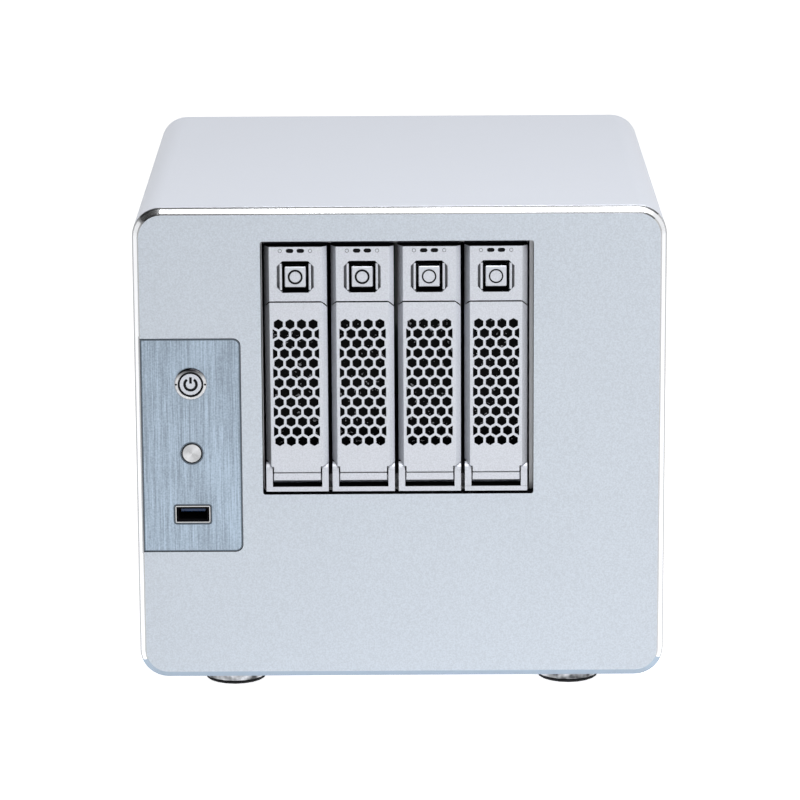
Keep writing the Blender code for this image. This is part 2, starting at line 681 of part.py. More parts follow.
def front_panel(finish):
    """Milled panel: bright chamfer round the face, tray window, pocket for the control plate."""
    face = prism("front_panel_raw", [sleeve_outline(0)], "XZ", FRONT, FRONT + PANEL_RIM)
    bm = bmesh.new()
    bm.from_mesh(face.data)
    rim = [edge for edge in bm.edges
           if all(abs(corner.co.y - FRONT) < SEAM / 10 for corner in edge.verts)
           and any(abs(side.normal.y) < WALL_LEAN for side in edge.link_faces)]
    bmesh.ops.bevel(bm, geom=rim, offset=FRONT_CHAMFER, offset_type="OFFSET", segments=1, profile=0.5,
                    affect="EDGES", material=-1, clamp_overlap=False)
    bm.to_mesh(face.data)
    bm.free()
    plug = prism("panel_plug", [sleeve_outline(SLEEVE_WALL + SEAM)], "XZ",
                 FRONT + PANEL_RIM - OVERLAP, PANEL_BACK)
    bosses = [cylinder(f"io_boss_{side}", IO_BOSS_RADIUS, "Y", PANEL_BACK - OVERLAP, IO_BOARD_Y - SEAM,
                       (CONTROL_X, IO_BOARD_Z + side * IO_BOSS_OFFSET), segments=12)
              for side in (-1, 1)]
    join(face, plug, *bosses)
    window = prism("tray_window", [rounded((ROW_LEFT - WINDOW_LEFT_GAP, BAY_FLOOR - WINDOW_BOTTOM_GAP),
                                           (ROW_RIGHT + WINDOW_RIGHT_GAP, BAY_TOP + WINDOW_TOP_GAP),
                                           WINDOW_RADIUS, 3)],
                   "XZ", FRONT - OVERSHOOT, PANEL_BACK + OVERSHOOT)
    floor = FRONT + PLATE_THICKNESS + SEAM
    pocket = prism("plate_pocket", [control_plate_outline(SEAM)], "XZ", FRONT - OVERSHOOT, floor)
    end = PANEL_BACK + OVERSHOOT
    power_hole = cylinder("panel_power_hole", BEZEL_BODY_RADIUS + SEAM, "Y", FRONT, end,
                          (CONTROL_X, POWER_Z), segments=28)
    cap, stem = RESET_CAP_RADIUS + CAP_CLEARANCE, RESET_STEM_RADIUS + CAP_CLEARANCE
    step = floor + RESET_TRAVEL + SEAM
    reset_hole = turned("panel_reset_hole", [(0, end), (stem, end), (stem, step), (cap, step), (cap, FRONT),
                                             (0, FRONT)], "Y", (CONTROL_X, RESET_Z), steps=24)
    usb_hole = prism("panel_usb_hole", [usb_outline(USB_LIP_WIDTH, USB_LIP_HEIGHT, SEAM)], "XZ", FRONT, end)
    return part("front_panel", cut(face, window, pocket, power_hole, reset_hole, usb_hole),
                finish)


def rear_panel(finish):
    """Sheet panel with the fan outlet, the mainboard's port opening and the power supply's window."""
    back = REAR_PANEL_FRONT + REAR_PANEL_THICKNESS
    sheet = prism("rear_panel_raw", [sleeve_outline(SLEEVE_WALL + SEAM)], "XZ", REAR_PANEL_FRONT, back)
    low, high = REAR_PANEL_FRONT - OVERSHOOT, back + OVERSHOOT
    outlet = prism("fan_outlet", vent_slots((ROW_CENTRE, BAY_MIDDLE)), "XZ", low, high)
    half = IO_SHIELD_WIDTH / 2 + SEAM
    ports = prism("port_opening", [rectangle((-half, SHIELD_BOTTOM - SEAM),
                                             (half, SHIELD_BOTTOM + IO_SHIELD_HEIGHT + SEAM))],
                  "XZ", low, high)
    half = SUPPLY_WIDTH / 2 - SUPPLY_WINDOW_MARGIN
    supply = prism("supply_opening",
                   [rounded((SUPPLY_X - half, SUPPLY_BOTTOM + SUPPLY_WINDOW_MARGIN),
                            (SUPPLY_X + half, SUPPLY_BOTTOM + SUPPLY_HEIGHT - SUPPLY_WINDOW_MARGIN),
                            SUPPLY_WINDOW_RADIUS, 2)], "XZ", low, high)
    return part("rear_panel", cut(sheet, outlet, ports, supply), finish)


def vent_slots(centre):
    """Rings of curved slots, each ring split by four spokes."""
    slots = []
    for ring in range(VENT_RINGS):
        inner = REAR_FAN_HUB / 2 + ring * (VENT_SLOT_WIDTH + VENT_RIB_WIDTH)
        outer = inner + VENT_SLOT_WIDTH
        steps = 3 + ring
        for quarter in range(4):
            first = quarter * pi / 2 + pi / 4
            inner_gap = asin(VENT_SPOKE_WIDTH / 2 / inner)
            outer_gap = asin(VENT_SPOKE_WIDTH / 2 / outer)
            slots.append(arc(centre, outer, first + outer_gap, first + pi / 2 - outer_gap, steps)
                         + arc(centre, inner, first + pi / 2 - inner_gap, first + inner_gap, steps))
    return slots


def feet(metal, rubber):
    """Four turned feet with a rubber pad under each."""
    body_top = UNDERSIDE - SEAM
    neck = body_top - FOOT_METAL_HEIGHT
    places = [(side * (RIGHT - FOOT_SIDE_OFFSET), along)
              for along in (FRONT + FOOT_FRONT_OFFSET, BACK - FOOT_REAR_OFFSET) for side in (-1, 1)]
    profile = [(0, FOOT_METAL_HEIGHT), (FOOT_RADIUS - FOOT_EDGE, FOOT_METAL_HEIGHT),
               (FOOT_RADIUS, FOOT_METAL_HEIGHT - FOOT_EDGE), (FOOT_RADIUS, FOOT_EDGE),
               (FOOT_RADIUS - FOOT_EDGE, 0), (0, 0)]
    body = finished_mesh(turned("foot_raw", profile, "Z", (0, 0), steps=20))
    pad_height = neck - SEAM
    pad_profile = [(0, pad_height), (FOOT_PAD_RADIUS, pad_height), (FOOT_PAD_RADIUS, FOOT_EDGE),
                   (FOOT_PAD_RADIUS - FOOT_EDGE, 0), (0, 0)]
    pad = finished_mesh(turned("foot_pad_raw", pad_profile, "Z", (0, 0), steps=20))
    for number, place in enumerate(places, start=1):
        part(f"foot_{number}", body, metal, (*place, neck), smooth=True)
        part(f"foot_pad_{number}", pad, rubber, (*place, 0), smooth=True)


# --------------------------------------------------------------------------------------------------
# Controls on the front
# --------------------------------------------------------------------------------------------------


def usb_outline(width, height, grow):
    """A port opening with softened corners, centred on the port."""
    half, tall = width / 2 + grow, height / 2 + grow
    return rounded((CONTROL_X - half, USB_Z - tall), (CONTROL_X + half, USB_Z + tall), USB_CORNER + grow, 2)


def control_plate(finish):
    """Brushed plate inlaid in the front panel, with holes for the switch, the button and the port."""
    sheet = prism("control_plate_raw", [control_plate_outline(0)], "XZ", FRONT, FRONT + PLATE_THICKNESS)
    low, high = FRONT - OVERSHOOT, FRONT + PLATE_THICKNESS + OVERSHOOT
    power = cylinder("plate_power_hole", BEZEL_BODY_RADIUS + SEAM, "Y", low, high,
                     (CONTROL_X, POWER_Z), segments=28)
    reset = cylinder("plate_reset_hole", RESET_CAP_RADIUS + CAP_CLEARANCE, "Y", low, high,
                     (CONTROL_X, RESET_Z))
    usb = prism("plate_usb_hole", [usb_outline(USB_LIP_WIDTH, USB_LIP_HEIGHT, SEAM)], "XZ", low, high)
    return part("control_plate", cut(sheet, power, reset, usb), finish)


def power_switch(metal, cap_finish):
    """Metal push switch: a flanged barrel with its nut, and the cap that travels in it."""
    face = FRONT - BEZEL_PROUD
    seat = FRONT - SEAM
    end = FRONT + BEZEL_BODY_LENGTH
    bore = POWER_CAP_RADIUS + CAP_CLEARANCE
    floor = face + POWER_CAP_SETBACK + POWER_CAP_THICKNESS + POWER_TRAVEL + SEAM
    barrel = turned("power_bezel_raw",
                    [(0, end), (BEZEL_BODY_RADIUS, end), (BEZEL_BODY_RADIUS, seat), (BEZEL_RADIUS, seat),
                     (BEZEL_RADIUS, face + BEZEL_EDGE), (BEZEL_RADIUS - BEZEL_EDGE, face), (bore, face),
                     (bore, floor), (0, floor)], "Y", (CONTROL_X, POWER_Z))
    nut = cylinder("power_nut", POWER_NUT_RADIUS, "Y", PANEL_BACK + SEAM,
                   PANEL_BACK + SEAM + POWER_NUT_THICKNESS, (CONTROL_X, POWER_Z), segments=6)
    part("power_bezel", join(barrel, nut), metal, smooth=True)
    front = face + POWER_CAP_SETBACK
    cap = turned("power_button_raw",
                 [(0, front + POWER_CAP_THICKNESS), (POWER_CAP_RADIUS, front + POWER_CAP_THICKNESS),
                  (POWER_CAP_RADIUS, front + SEAM), (POWER_CAP_RADIUS - SEAM, front), (0, front)],
                 "Y", (CONTROL_X, POWER_Z))
    part("power_button", cap, cap_finish, (CONTROL_X, front, POWER_Z), smooth=True)


def reset_button(finish):
    """Round cap flush with the plate, on a stem that reaches the switch behind it."""
    stem_end = IO_BOARD_Y - IO_SWITCH_SIZE / 2 - RESET_TRAVEL - SEAM
    back = FRONT + RESET_CAP_THICKNESS
    button = turned("reset_button_raw",
                    [(0, stem_end), (RESET_STEM_RADIUS, stem_end), (RESET_STEM_RADIUS, back),
                     (RESET_CAP_RADIUS, back), (RESET_CAP_RADIUS, FRONT + SEAM),
                     (RESET_CAP_RADIUS - SEAM, FRONT), (0, FRONT)], "Y", (CONTROL_X, RESET_Z), steps=24)
    part("reset_button", button, finish, (CONTROL_X, FRONT, RESET_Z), smooth=True)


def front_port(shell_finish, tongue_finish):
    """Front port: a drawn shell with a lip, and the contact tongue inside it."""
    end = FRONT + USB_LENGTH
    wall = USB_SHELL_WALL
    shell = prism("usb_shell_raw", [usb_outline(USB_OPENING_WIDTH, USB_OPENING_HEIGHT, wall)], "XZ",
                  FRONT + OVERLAP, end)
    lip = prism("usb_lip", [usb_outline(USB_LIP_WIDTH, USB_LIP_HEIGHT, 0)], "XZ",
                FRONT, FRONT + USB_LIP_THICKNESS)
    cavity = prism("usb_cavity", [usb_outline(USB_OPENING_WIDTH, USB_OPENING_HEIGHT, 0)], "XZ",
                   FRONT - OVERSHOOT, end - wall)
    part("usb_shell", cut(join(shell, lip), cavity), shell_finish)
    top = USB_Z + USB_OPENING_HEIGHT / 2 - USB_TONGUE_DROP
    back = end - wall - SEAM
    tongue = box("usb_tongue_raw", (CONTROL_X - USB_TONGUE_WIDTH / 2, back - USB_TONGUE_LENGTH,
                                    top - USB_TONGUE_THICKNESS),
                 (CONTROL_X + USB_TONGUE_WIDTH / 2, back, top))
    part("usb_tongue", bevel(tongue, USB_TONGUE_EDGE), tongue_finish)


def front_io_board(finish):
    """Small circuit board behind the plate, with the reset switch and the port's pins on it."""
    low = USB_Z - IO_BOARD_MARGIN
    high = RESET_Z + IO_BOARD_MARGIN
    board = box("front_io_board_raw", (CONTROL_X - IO_BOARD_WIDTH / 2, IO_BOARD_Y, low),
                (CONTROL_X + IO_BOARD_WIDTH / 2, IO_BOARD_Y + IO_BOARD_THICKNESS, high))
    half = IO_SWITCH_SIZE / 2
    switch = box("reset_switch", (CONTROL_X - half, IO_BOARD_Y - half, RESET_Z - half),
                 (CONTROL_X + half, IO_BOARD_Y + OVERLAP, RESET_Z + half))
    back = IO_BOARD_Y + IO_BOARD_THICKNESS
    header = box("io_header", (CONTROL_X - 2 * half, back - OVERLAP, IO_BOARD_Z - half),
                 (CONTROL_X + 2 * half, back + 2 * half, IO_BOARD_Z + half))
    part("front_io_board", join(board, switch, header), finish)


# --------------------------------------------------------------------------------------------------
# Cage, trays and drives
# --------------------------------------------------------------------------------------------------


def cage(finish):
    """Two side plates hung from the sleeve's roof, with a grooved floor and ceiling between them."""
    start = PANEL_BACK + SEAM
    roof = TOP - SLEEVE_WALL - SEAM
    low = BAY_FLOOR - SEAM - CAGE_WALL
    for name, inner, side in (("left", CAGE_LEFT, -1), ("right", CAGE_RIGHT, 1)):
        outer = inner + side * CAGE_WALL
        edge = inner + side * CAGE_FLANGE
        profile = [(inner, low), (outer, low), (outer, roof - CAGE_WALL), (edge, roof - CAGE_WALL),
                   (edge, roof), (inner, roof)]
        plate = prism(f"cage_side_{name}_raw", [profile], "XZ", start, CAGE_BACK)
        part(f"cage_side_{name}", plate, finish)
    ribs_start = TRAY_FACE + TRAY_FRONT_DEPTH + GUIDE_SETBACK
    ribs_end = BACKPLANE_Y - SEAM
    wide = CAGE_LEFT + SEAM, CAGE_RIGHT - SEAM
    for name, surface, side in (("bottom", BAY_FLOOR - SEAM, 1), ("top", BAY_TOP + SEAM, -1)):
        far = surface - side * CAGE_WALL
        plate = box(f"cage_{name}_raw", (wide[0], start, min(surface, far)),
                    (wide[1], CAGE_BACK, max(surface, far)))
        ribs = []
        for number in range(BAY_COUNT + 1):
            middle = ROW_LEFT - BAY_GAP / 2 + number * BAY_PITCH
            half = (BAY_PITCH - TRAY_RAIL_WIDTH) / 2 - GUIDE_CLEARANCE
            rib_low, rib_high = max(middle - half, wide[0]), min(middle + half, wide[1])
            root, tip = surface - side * OVERLAP, surface + side * GUIDE_HEIGHT
            ribs.append(box(f"guide_{name}_{number}", (rib_low, ribs_start, min(root, tip)),
                            (rib_high, ribs_end, max(root, tip))))
        part(f"cage_{name}_plate", join(plate, *ribs), finish)


def bay_centre(number):
    """X of a bay's middle."""
    return ROW_LEFT + TRAY_WIDTH / 2 + number * BAY_PITCH


def side_bevels(name, low, high):
    """Two long wedges that take the bevels off the front corners of a tray piece."""
    half = TRAY_WIDTH / 2
    extra = OVERSHOOT
    wedges = []
    for side, depth in ((-1, TRAY_LEFT_BEVEL_DEPTH), (1, TRAY_RIGHT_BEVEL_DEPTH)):
        slope = depth / TRAY_BEVEL_WIDTH
        loop = [(side * (half - TRAY_BEVEL_WIDTH - extra / slope), -extra),
                (side * (half + extra), -extra),
                (side * (half + extra), depth + extra * slope)]
        wedges.append(prism(f"{name}_bevel_{side}", [loop], "XY", low, high))
    return wedges


def tray_mesh():
    """Tray without its lever: head block, hinge posts with a bar, ring behind the lever, two rails."""
    half = TRAY_WIDTH / 2
    seam = TRAY_HEIGHT - TRAY_HEAD_HEIGHT
    drop = TRAY_BEVEL_WIDTH
    top = TRAY_HEIGHT - TRAY_TOP_RELIEF
    head = prism("tray_raw", [[(-half, top), (-half, seam - drop), (-half + drop, seam),
                               (half - drop, seam), (half, seam - drop), (half, top)]],
                 "XZ", 0, TRAY_FRONT_DEPTH)
    ring_front = TRAY_FRONT_DEPTH - TRAY_RING_DEPTH
    opening = half - TRAY_RING_WIDTH
    ring = prism("tray_ring", [rectangle((-half, OVERLAP), (half, top - OVERLAP)),
                               rounded((-opening, TRAY_BAR_HEIGHT + TRAY_RING_WIDTH),
                                       (opening, seam - TRAY_RING_WIDTH), TRAY_RING_RADIUS, 2)],
                 "XZ", ring_front, TRAY_FRONT_DEPTH - SEAM)
    bar = box("tray_bar", (-half, 0, 0), (half, TRAY_FRONT_DEPTH, TRAY_BAR_HEIGHT))
    front = HINGE_DEPTH - LUG_RADIUS
    lug = [(front, OVERLAP), (ring_front + OVERLAP, OVERLAP), (ring_front + OVERLAP, HINGE_HEIGHT),
           *arc((HINGE_DEPTH, HINGE_HEIGHT), LUG_RADIUS, 0, pi, 10)]
    inner = half - TRAY_POST_WIDTH
    posts = [prism(f"tray_post_{name}", [lug], "YZ", low, high)
             for name, low, high in (("left", -half, -inner), ("right", inner, half))]
    rail_end = TRAY_FRONT_DEPTH + SEAM + DRIVE_LENGTH
    rails = []
    for name, low, side in (("lower", 0, -1), ("upper", TRAY_HEIGHT, 1)):
        face = low - side * TRAY_RAIL_THICKNESS
        cut_back = TRAY_RAIL_END_CHAMFER
        root = TRAY_FRONT_DEPTH - OVERLAP * 2
        loop = [(root, low), (rail_end - cut_back, low), (rail_end, low - side * cut_back),
                (rail_end, face), (root, face)]
        rails.append(prism(f"tray_rail_{name}", [loop], "YZ", -TRAY_RAIL_WIDTH / 2, TRAY_RAIL_WIDTH / 2))
    join(head, ring, bar, *posts, *rails)

    centre = TRAY_HEIGHT - RELEASE_DROP
    recess = recess_cutter(centre)
    well = RELEASE_CLEARANCE
    shaft = box("release_shaft", (-RELEASE_WIDTH / 2 - well, -OVERSHOOT, centre - RELEASE_HEIGHT / 2 - well),
                (RELEASE_WIDTH / 2 + well, RELEASE_DEPTH + RELEASE_TRAVEL + SEAM,
                 centre + RELEASE_HEIGHT / 2 + well))
    pins = cylinder("tray_pin_holes", HINGE_PIN_RADIUS + HINGE_PIN_CLEARANCE, "X", -half - OVERSHOOT,
                    half + OVERSHOOT, (HINGE_DEPTH, HINGE_HEIGHT), segments=8)
    tall, wide = STATUS_WINDOW_HEIGHT / 2, STATUS_WINDOW_LENGTH / 2
    level = TRAY_HEIGHT - STATUS_WINDOW_DROP
    windows = [rounded((middle - wide, level - tall), (middle + wide, level + tall),
                       tall * STATUS_WINDOW_ROUNDING, 2)
               for middle in (-STATUS_WINDOW_SPACING / 2, STATUS_WINDOW_SPACING / 2)]
    lamps = prism("status_windows", windows, "XZ", -OVERSHOOT, STATUS_WINDOW_DEPTH)
    bevels = side_bevels("tray", seam - drop - OVERSHOOT, TRAY_HEIGHT + OVERSHOOT)
    cut(head, recess)
    join(head, *finger_ribs(centre))
    cut(head, shaft, pins, lamps, *bevels)
    return finished_mesh(head)


def finger_ribs(level):
    """Two upright round-faced ribs in the recess, one at each side of the release button."""
    half, end = RIB_WIDTH / 2, RECESS_DEPTH + OVERLAP
    ribs = []
    for side in (-1, 1):
        middle = side * RIB_OFFSET
        nose = arc((middle, RIB_SETBACK + half), half, pi, 2 * pi, 4)
        loop = [*nose, (middle + half, end), (middle - half, end)]
        ribs.append(prism(f"finger_rib_{side}", [loop], "XY", level - RIB_LENGTH / 2, level + RIB_LENGTH / 2))
    return ribs


def recess_cutter(level):
    """Pocket round the release button, with its corners cut off."""
    outline = chamfered((-RECESS_WIDTH / 2, level - RECESS_HEIGHT / 2),
                        (RECESS_WIDTH / 2, level + RECESS_HEIGHT / 2), RECESS_CORNER)
    return prism("release_recess", [outline], "XZ", -OVERSHOOT, RECESS_DEPTH)


def hexagon(centre, width, side=0):
    """A hexagon with a corner at the top, whole or, with side -1 or 1, only that half of it."""
    radius = width / sqrt(3)
    first, last = {0: (pi / 2, pi / 2 + 5 * pi / 3), -1: (pi / 2, 3 * pi / 2), 1: (-pi / 2, pi / 2)}[side]
    return arc(centre, radius, first, last, 5 if side == 0 else 3)


def grille_holes():
    """Staggered hexagons: rows of whole holes, and between them rows that end in half holes."""
    row_pitch = HOLE_PITCH * sqrt(3) / 2
    reach = (HOLES_PER_ROW - 1) / 2
    top = LEVER_HEIGHT - HOLE_FIELD_TOP
    holes = []
    for row in range(HOLE_ROWS):
        level = top - row * row_pitch
        if row % 2 == 0:
            holes += [hexagon(((number - reach) * HOLE_PITCH, level), HOLE_WIDTH)
                      for number in range(HOLES_PER_ROW)]
            continue
        holes += [hexagon(((number - reach + 0.5) * HOLE_PITCH, level), HOLE_WIDTH)
                  for number in range(HOLES_PER_ROW - 1)]
        edge = (reach + 0.5) * HOLE_PITCH
        holes += [hexagon((side * edge, level), HOLE_WIDTH, -side) for side in (-1, 1)]
    return holes


def channel_side(side, depth, face, back):
    """Outer and inner points of one side of the lever's channel, from its face to its rear edge."""
    half, wall = TRAY_WIDTH / 2, LEVER_WALL
    turn = atan2(depth, TRAY_BEVEL_WIDTH)
    flat = half - TRAY_BEVEL_WIDTH
    outer = [(side * flat, face), (side * half, face + depth), (side * half, back)]
    inner = [(side * (flat - wall * tan(turn / 2)), face + wall),
             (side * (half - wall), face + depth + wall * tan(pi / 4 - turn / 2)),
             (side * (half - wall), back)]
    return outer, inner


def lever_mesh():
    """Lever about its hinge axis: a drawn channel with a perforated face, a lip, a knuckle and its pin."""
    half = TRAY_WIDTH / 2
    flat = half - TRAY_BEVEL_WIDTH
    face = -HINGE_DEPTH
    back = face + LEVER_DEPTH
    wall = LEVER_WALL
    left_outer, left_inner = channel_side(-1, TRAY_LEFT_BEVEL_DEPTH, face, back)
    right_outer, right_inner = channel_side(1, TRAY_RIGHT_BEVEL_DEPTH, face, back)
    channel = [*reversed(left_outer), *right_outer, *reversed(right_inner), *left_inner]
    lever = prism("lever_raw", [channel], "XY", LEVER_FOLD_WIDTH / 2, LEVER_HEIGHT + OVERLAP)
    tongue = half - TRAY_POST_WIDTH - LEVER_SIDE_GAP
    outline = [(-tongue, -OVERSHOOT), (tongue, -OVERSHOOT), (tongue, LEVER_SHOULDER_INNER),
               (half + OVERLAP, LEVER_SHOULDER_OUTER),
               (half + OVERLAP, LEVER_HEIGHT - TRAY_BEVEL_WIDTH - OVERLAP),
               (flat, LEVER_HEIGHT), (-flat, LEVER_HEIGHT),
               (-half - OVERLAP, LEVER_HEIGHT - TRAY_BEVEL_WIDTH - OVERLAP),
               (-half - OVERLAP, LEVER_SHOULDER_OUTER), (-tongue, LEVER_SHOULDER_INNER)]
    silhouette = prism("lever_outline", [outline], "XZ", face - OVERSHOOT, back + OVERSHOOT)
    combine(lever, "INTERSECT", [silhouette])
    reach = half + OVERSHOOT
    sweeps = [cylinder(f"lug_sweep_{side}", LUG_RADIUS + LUG_CLEARANCE, "X", min(side * tongue, side * reach),
                       max(side * tongue, side * reach), (0, 0), segments=20) for side in (-1, 1)]
    cut(lever, *sweeps)
    knuckle = cylinder("lever_knuckle", KNUCKLE_RADIUS, "X", -tongue + OVERLAP / 4,
                       tongue - OVERLAP / 4, (0, 0), segments=20)
    lip = box("lever_lip", (-tongue, face, -LEVER_LIP_DROP), (tongue, 0, -LEVER_FOLD_WIDTH / 2))
    pin = cylinder("lever_pin", HINGE_PIN_RADIUS, "X", -half + SEAM, half - SEAM, (0, 0), segments=8)
    lid = box("lever_lid", (-flat + OVERLAP, face + OVERLAP, LEVER_HEIGHT - wall - OVERLAP),
              (flat - OVERLAP, back - OVERLAP, LEVER_HEIGHT - OVERLAP / 4))
    join(lever, knuckle, lip, pin, lid)
    holes = prism("grille_holes", grille_holes(), "XZ", face - OVERSHOOT, face + wall + OVERSHOOT)
    cut(lever, holes)
    return finished_mesh(lever)


def release_mesh():
    """Release button about the middle of its face, with a ring turned into it."""
    wide, tall = RELEASE_WIDTH / 2, RELEASE_HEIGHT / 2
    button = bevel(box("release_raw", (-wide, 0, -tall), (wide, RELEASE_DEPTH, tall)), RELEASE_EDGE)
    inner, outer = RELEASE_RING_RADIUS - RELEASE_RING_WIDTH / 2, RELEASE_RING_RADIUS + RELEASE_RING_WIDTH / 2
    groove = prism("release_ring", [circle((0, 0), outer, 14), circle((0, 0), inner, 14)], "XZ",
                   -OVERSHOOT, RELEASE_RING_DEPTH)
    return finished_mesh(cut(button, groove))


def drive_mesh():
    """Hard disk drive, standing on its side: casting, raised cover, plug opening at the rear."""
    deep = DRIVE_THICKNESS - DRIVE_COVER_THICKNESS
    low = -DRIVE_THICKNESS / 2
    casting = prism("drive_raw", [chamfered((0, 0), (DRIVE_LENGTH, DRIVE_HEIGHT), DRIVE_CORNER)], "YZ",
                    low, low + deep)
    margin = DRIVE_COVER_MARGIN
    lid = rounded((margin, margin), (DRIVE_LENGTH - margin, DRIVE_HEIGHT - margin), DRIVE_COVER_RADIUS, 3)
    cover = prism("drive_cover", [lid], "YZ", low + deep - OVERLAP, low + DRIVE_THICKNESS)
    join(casting, cover)
    half = DRIVE_PLUG_LENGTH / 2
    start = low + DRIVE_PLUG_INSET
    plug = box("drive_plug", (start, DRIVE_LENGTH - DRIVE_PLUG_DEPTH, DRIVE_PLUG_HEIGHT - half),
               (start + DRIVE_PLUG_WIDTH, DRIVE_LENGTH + OVERSHOOT, DRIVE_PLUG_HEIGHT + half))
    return finished_mesh(cut(casting, plug))


def trays(tray_finish, lever_finish, release_finish, drive_finish):
    """One tray, lever, release button and drive in each bay, under an empty at the tray's corner."""
    tray, lever, release, drive = tray_mesh(), lever_mesh(), release_mesh(), drive_mesh()
    hinge = Vector((0, HINGE_DEPTH, HINGE_HEIGHT))
    button = Vector((0, 0, TRAY_HEIGHT - RELEASE_DROP))
    seat = Vector((0, TRAY_FRONT_DEPTH + SEAM, TRAY_RAIL_THICKNESS + SEAM))
    for number in range(BAY_COUNT):
        slot = bpy.data.objects.new(f"bay_{number + 1}", None)
        slot.location = (bay_centre(number), TRAY_FACE, BAY_FLOOR)
        bpy.data.collections[PARTS].objects.link(slot)
        for name, mesh, finish, place in (("tray_frame", tray, tray_finish, Vector((0, 0, 0))),
                                          ("tray_lever", lever, lever_finish, hinge),
                                          ("release_button", release, release_finish, button),
                                          ("hard_drive", drive, drive_finish, seat)):
            piece = part(f"{name}_{number + 1}", mesh, finish, place)
            piece.parent = slot


def backplane(board_finish, socket_finish):
    """Circuit board across the rear of the cage, with air slots and one drive socket for each bay."""
    low = BAY_FLOOR
    high = BAY_TOP
    left, right = CAGE_LEFT + SEAM, CAGE_RIGHT - SEAM
    slot_half = BACKPLANE_SLOT_WIDTH / 2
    slots = []
    drive_base = BAY_FLOOR + TRAY_RAIL_THICKNESS + SEAM
    plug_z = drive_base + DRIVE_PLUG_HEIGHT
    plug_x = -DRIVE_THICKNESS / 2 + DRIVE_PLUG_INSET + DRIVE_PLUG_WIDTH / 2
    for number in range(BAY_COUNT):
        middle = bay_centre(number) + BACKPLANE_SLOT_WIDTH / 2
        slots.append(rounded((middle - slot_half, BAY_MIDDLE - BACKPLANE_SLOT_LENGTH / 2),
                             (middle + slot_half, BAY_MIDDLE + BACKPLANE_SLOT_LENGTH / 2),
                             slot_half * BACKPLANE_SLOT_ROUNDING, 2))
    board = prism("backplane_raw", [rectangle((left, low), (right, high)), *slots], "XZ",
                  BACKPLANE_Y, BACKPLANE_Y + BACKPLANE_THICKNESS)
    part("backplane_board", board, board_finish)
    socket = box("socket_raw", (-SOCKET_WIDTH / 2, -SOCKET_DEPTH, -SOCKET_LENGTH / 2),
                 (SOCKET_WIDTH / 2, 0, SOCKET_LENGTH / 2))
    thin, reach = SOCKET_SLIT_WIDTH / 2, SOCKET_LENGTH / 2 - SOCKET_SLIT_MARGIN
    slit = box("socket_slit", (-thin, -SOCKET_DEPTH - OVERSHOOT, -reach), (thin, -SOCKET_DEPTH / 2, reach))
    mesh = finished_mesh(cut(socket, slit))
    for number in range(BAY_COUNT):
        part(f"backplane_socket_{number + 1}", mesh, socket_finish,
             (bay_centre(number) + plug_x, BACKPLANE_Y - SEAM, plug_z))


# --------------------------------------------------------------------------------------------------
# Fans
# --------------------------------------------------------------------------------------------------


def fan_frame(name, size, depth, hub, centre, start):
    """Square fan frame with a round bore, screw holes and a motor disc on four struts at its far end."""
    low = (centre[0] - size / 2, centre[1] - size / 2)
    high = (centre[0] + size / 2, centre[1] + size / 2)
    bore = size / 2 - FAN_RIM
    inset = size / 2 - FAN_SCREW_INSET * size / REAR_FAN_SIZE
    hole = FAN_SCREW_RADIUS * size / REAR_FAN_SIZE
    screws = [circle((centre[0] + across * inset, centre[1] + up * inset), hole, 6)
              for across in (-1, 1) for up in (-1, 1)]
    frame = prism(name + "_raw", [rounded(low, high, FAN_CORNER, 2), circle(centre, bore, 28), *screws],
                  "XZ", start, start + depth)
    end = start + depth
    half = FAN_STRUT_WIDTH * size / REAR_FAN_SIZE / 2
    reach = bore + FAN_STRUT_REACH
    gap = asin(half / hub)
    spider = []
    for number in range(4):
        turn = pi / 4 + number * pi / 2
        across, up = Vector((cos(turn), sin(turn))), Vector((-sin(turn), cos(turn)))
        spider += [tuple(Vector(centre) + across * reach + up * side * half) for side in (-1, 1)]
        spider += arc(centre, hub, turn + gap, turn + pi / 2 - gap, 5)
    motor = prism(name + "_spider", [spider], "XZ", end - FAN_STRUT_THICKNESS, end - OVERLAP)
    return join(frame, motor)


def fan_rotor_mesh(name, size, depth, hub, blades):
    """Hub and twisted blades about the fan's axis, which is Z here, with the hub's face at z = 0."""
    tip = size / 2 - FAN_RIM - FAN_TIP_GAP
    hub_mesh = cylinder(name + "_hub", hub, "Z", 0, depth, (0, 0), segments=24)
    spread = 2 * pi / blades * BLADE_SPREAD
    root = hub * BLADE_ROOT
    vanes = []
    for blade in range(blades):
        bm = bmesh.new()
        rows = []
        for row in range(2):
            radius = root + (tip - root) * row
            sweep = 2 * pi * blade / blades + BLADE_SWEEP * row
            line = []
            for step in range(3):
                turn = sweep + spread * (step / 2 - 0.5)
                lift = depth * (BLADE_LIFT + BLADE_CLIMB * step / 2)
                line.append(bm.verts.new((radius * cos(turn), radius * sin(turn), lift)))
            rows.append(line)
        for lower, upper in zip(rows, rows[1:]):
            for step in range(2):
                bm.faces.new((lower[step], upper[step], upper[step + 1], lower[step + 1]))
        vane = shape(f"{name}_vane_{blade}", mesh_from(bm, name))
        thick = vane.modifiers.new("thickness", "SOLIDIFY")
        thick.thickness = BLADE_THICKNESS
        thick.offset = 0
        vanes.append(vane)
    return finished_mesh(join(hub_mesh, *vanes))


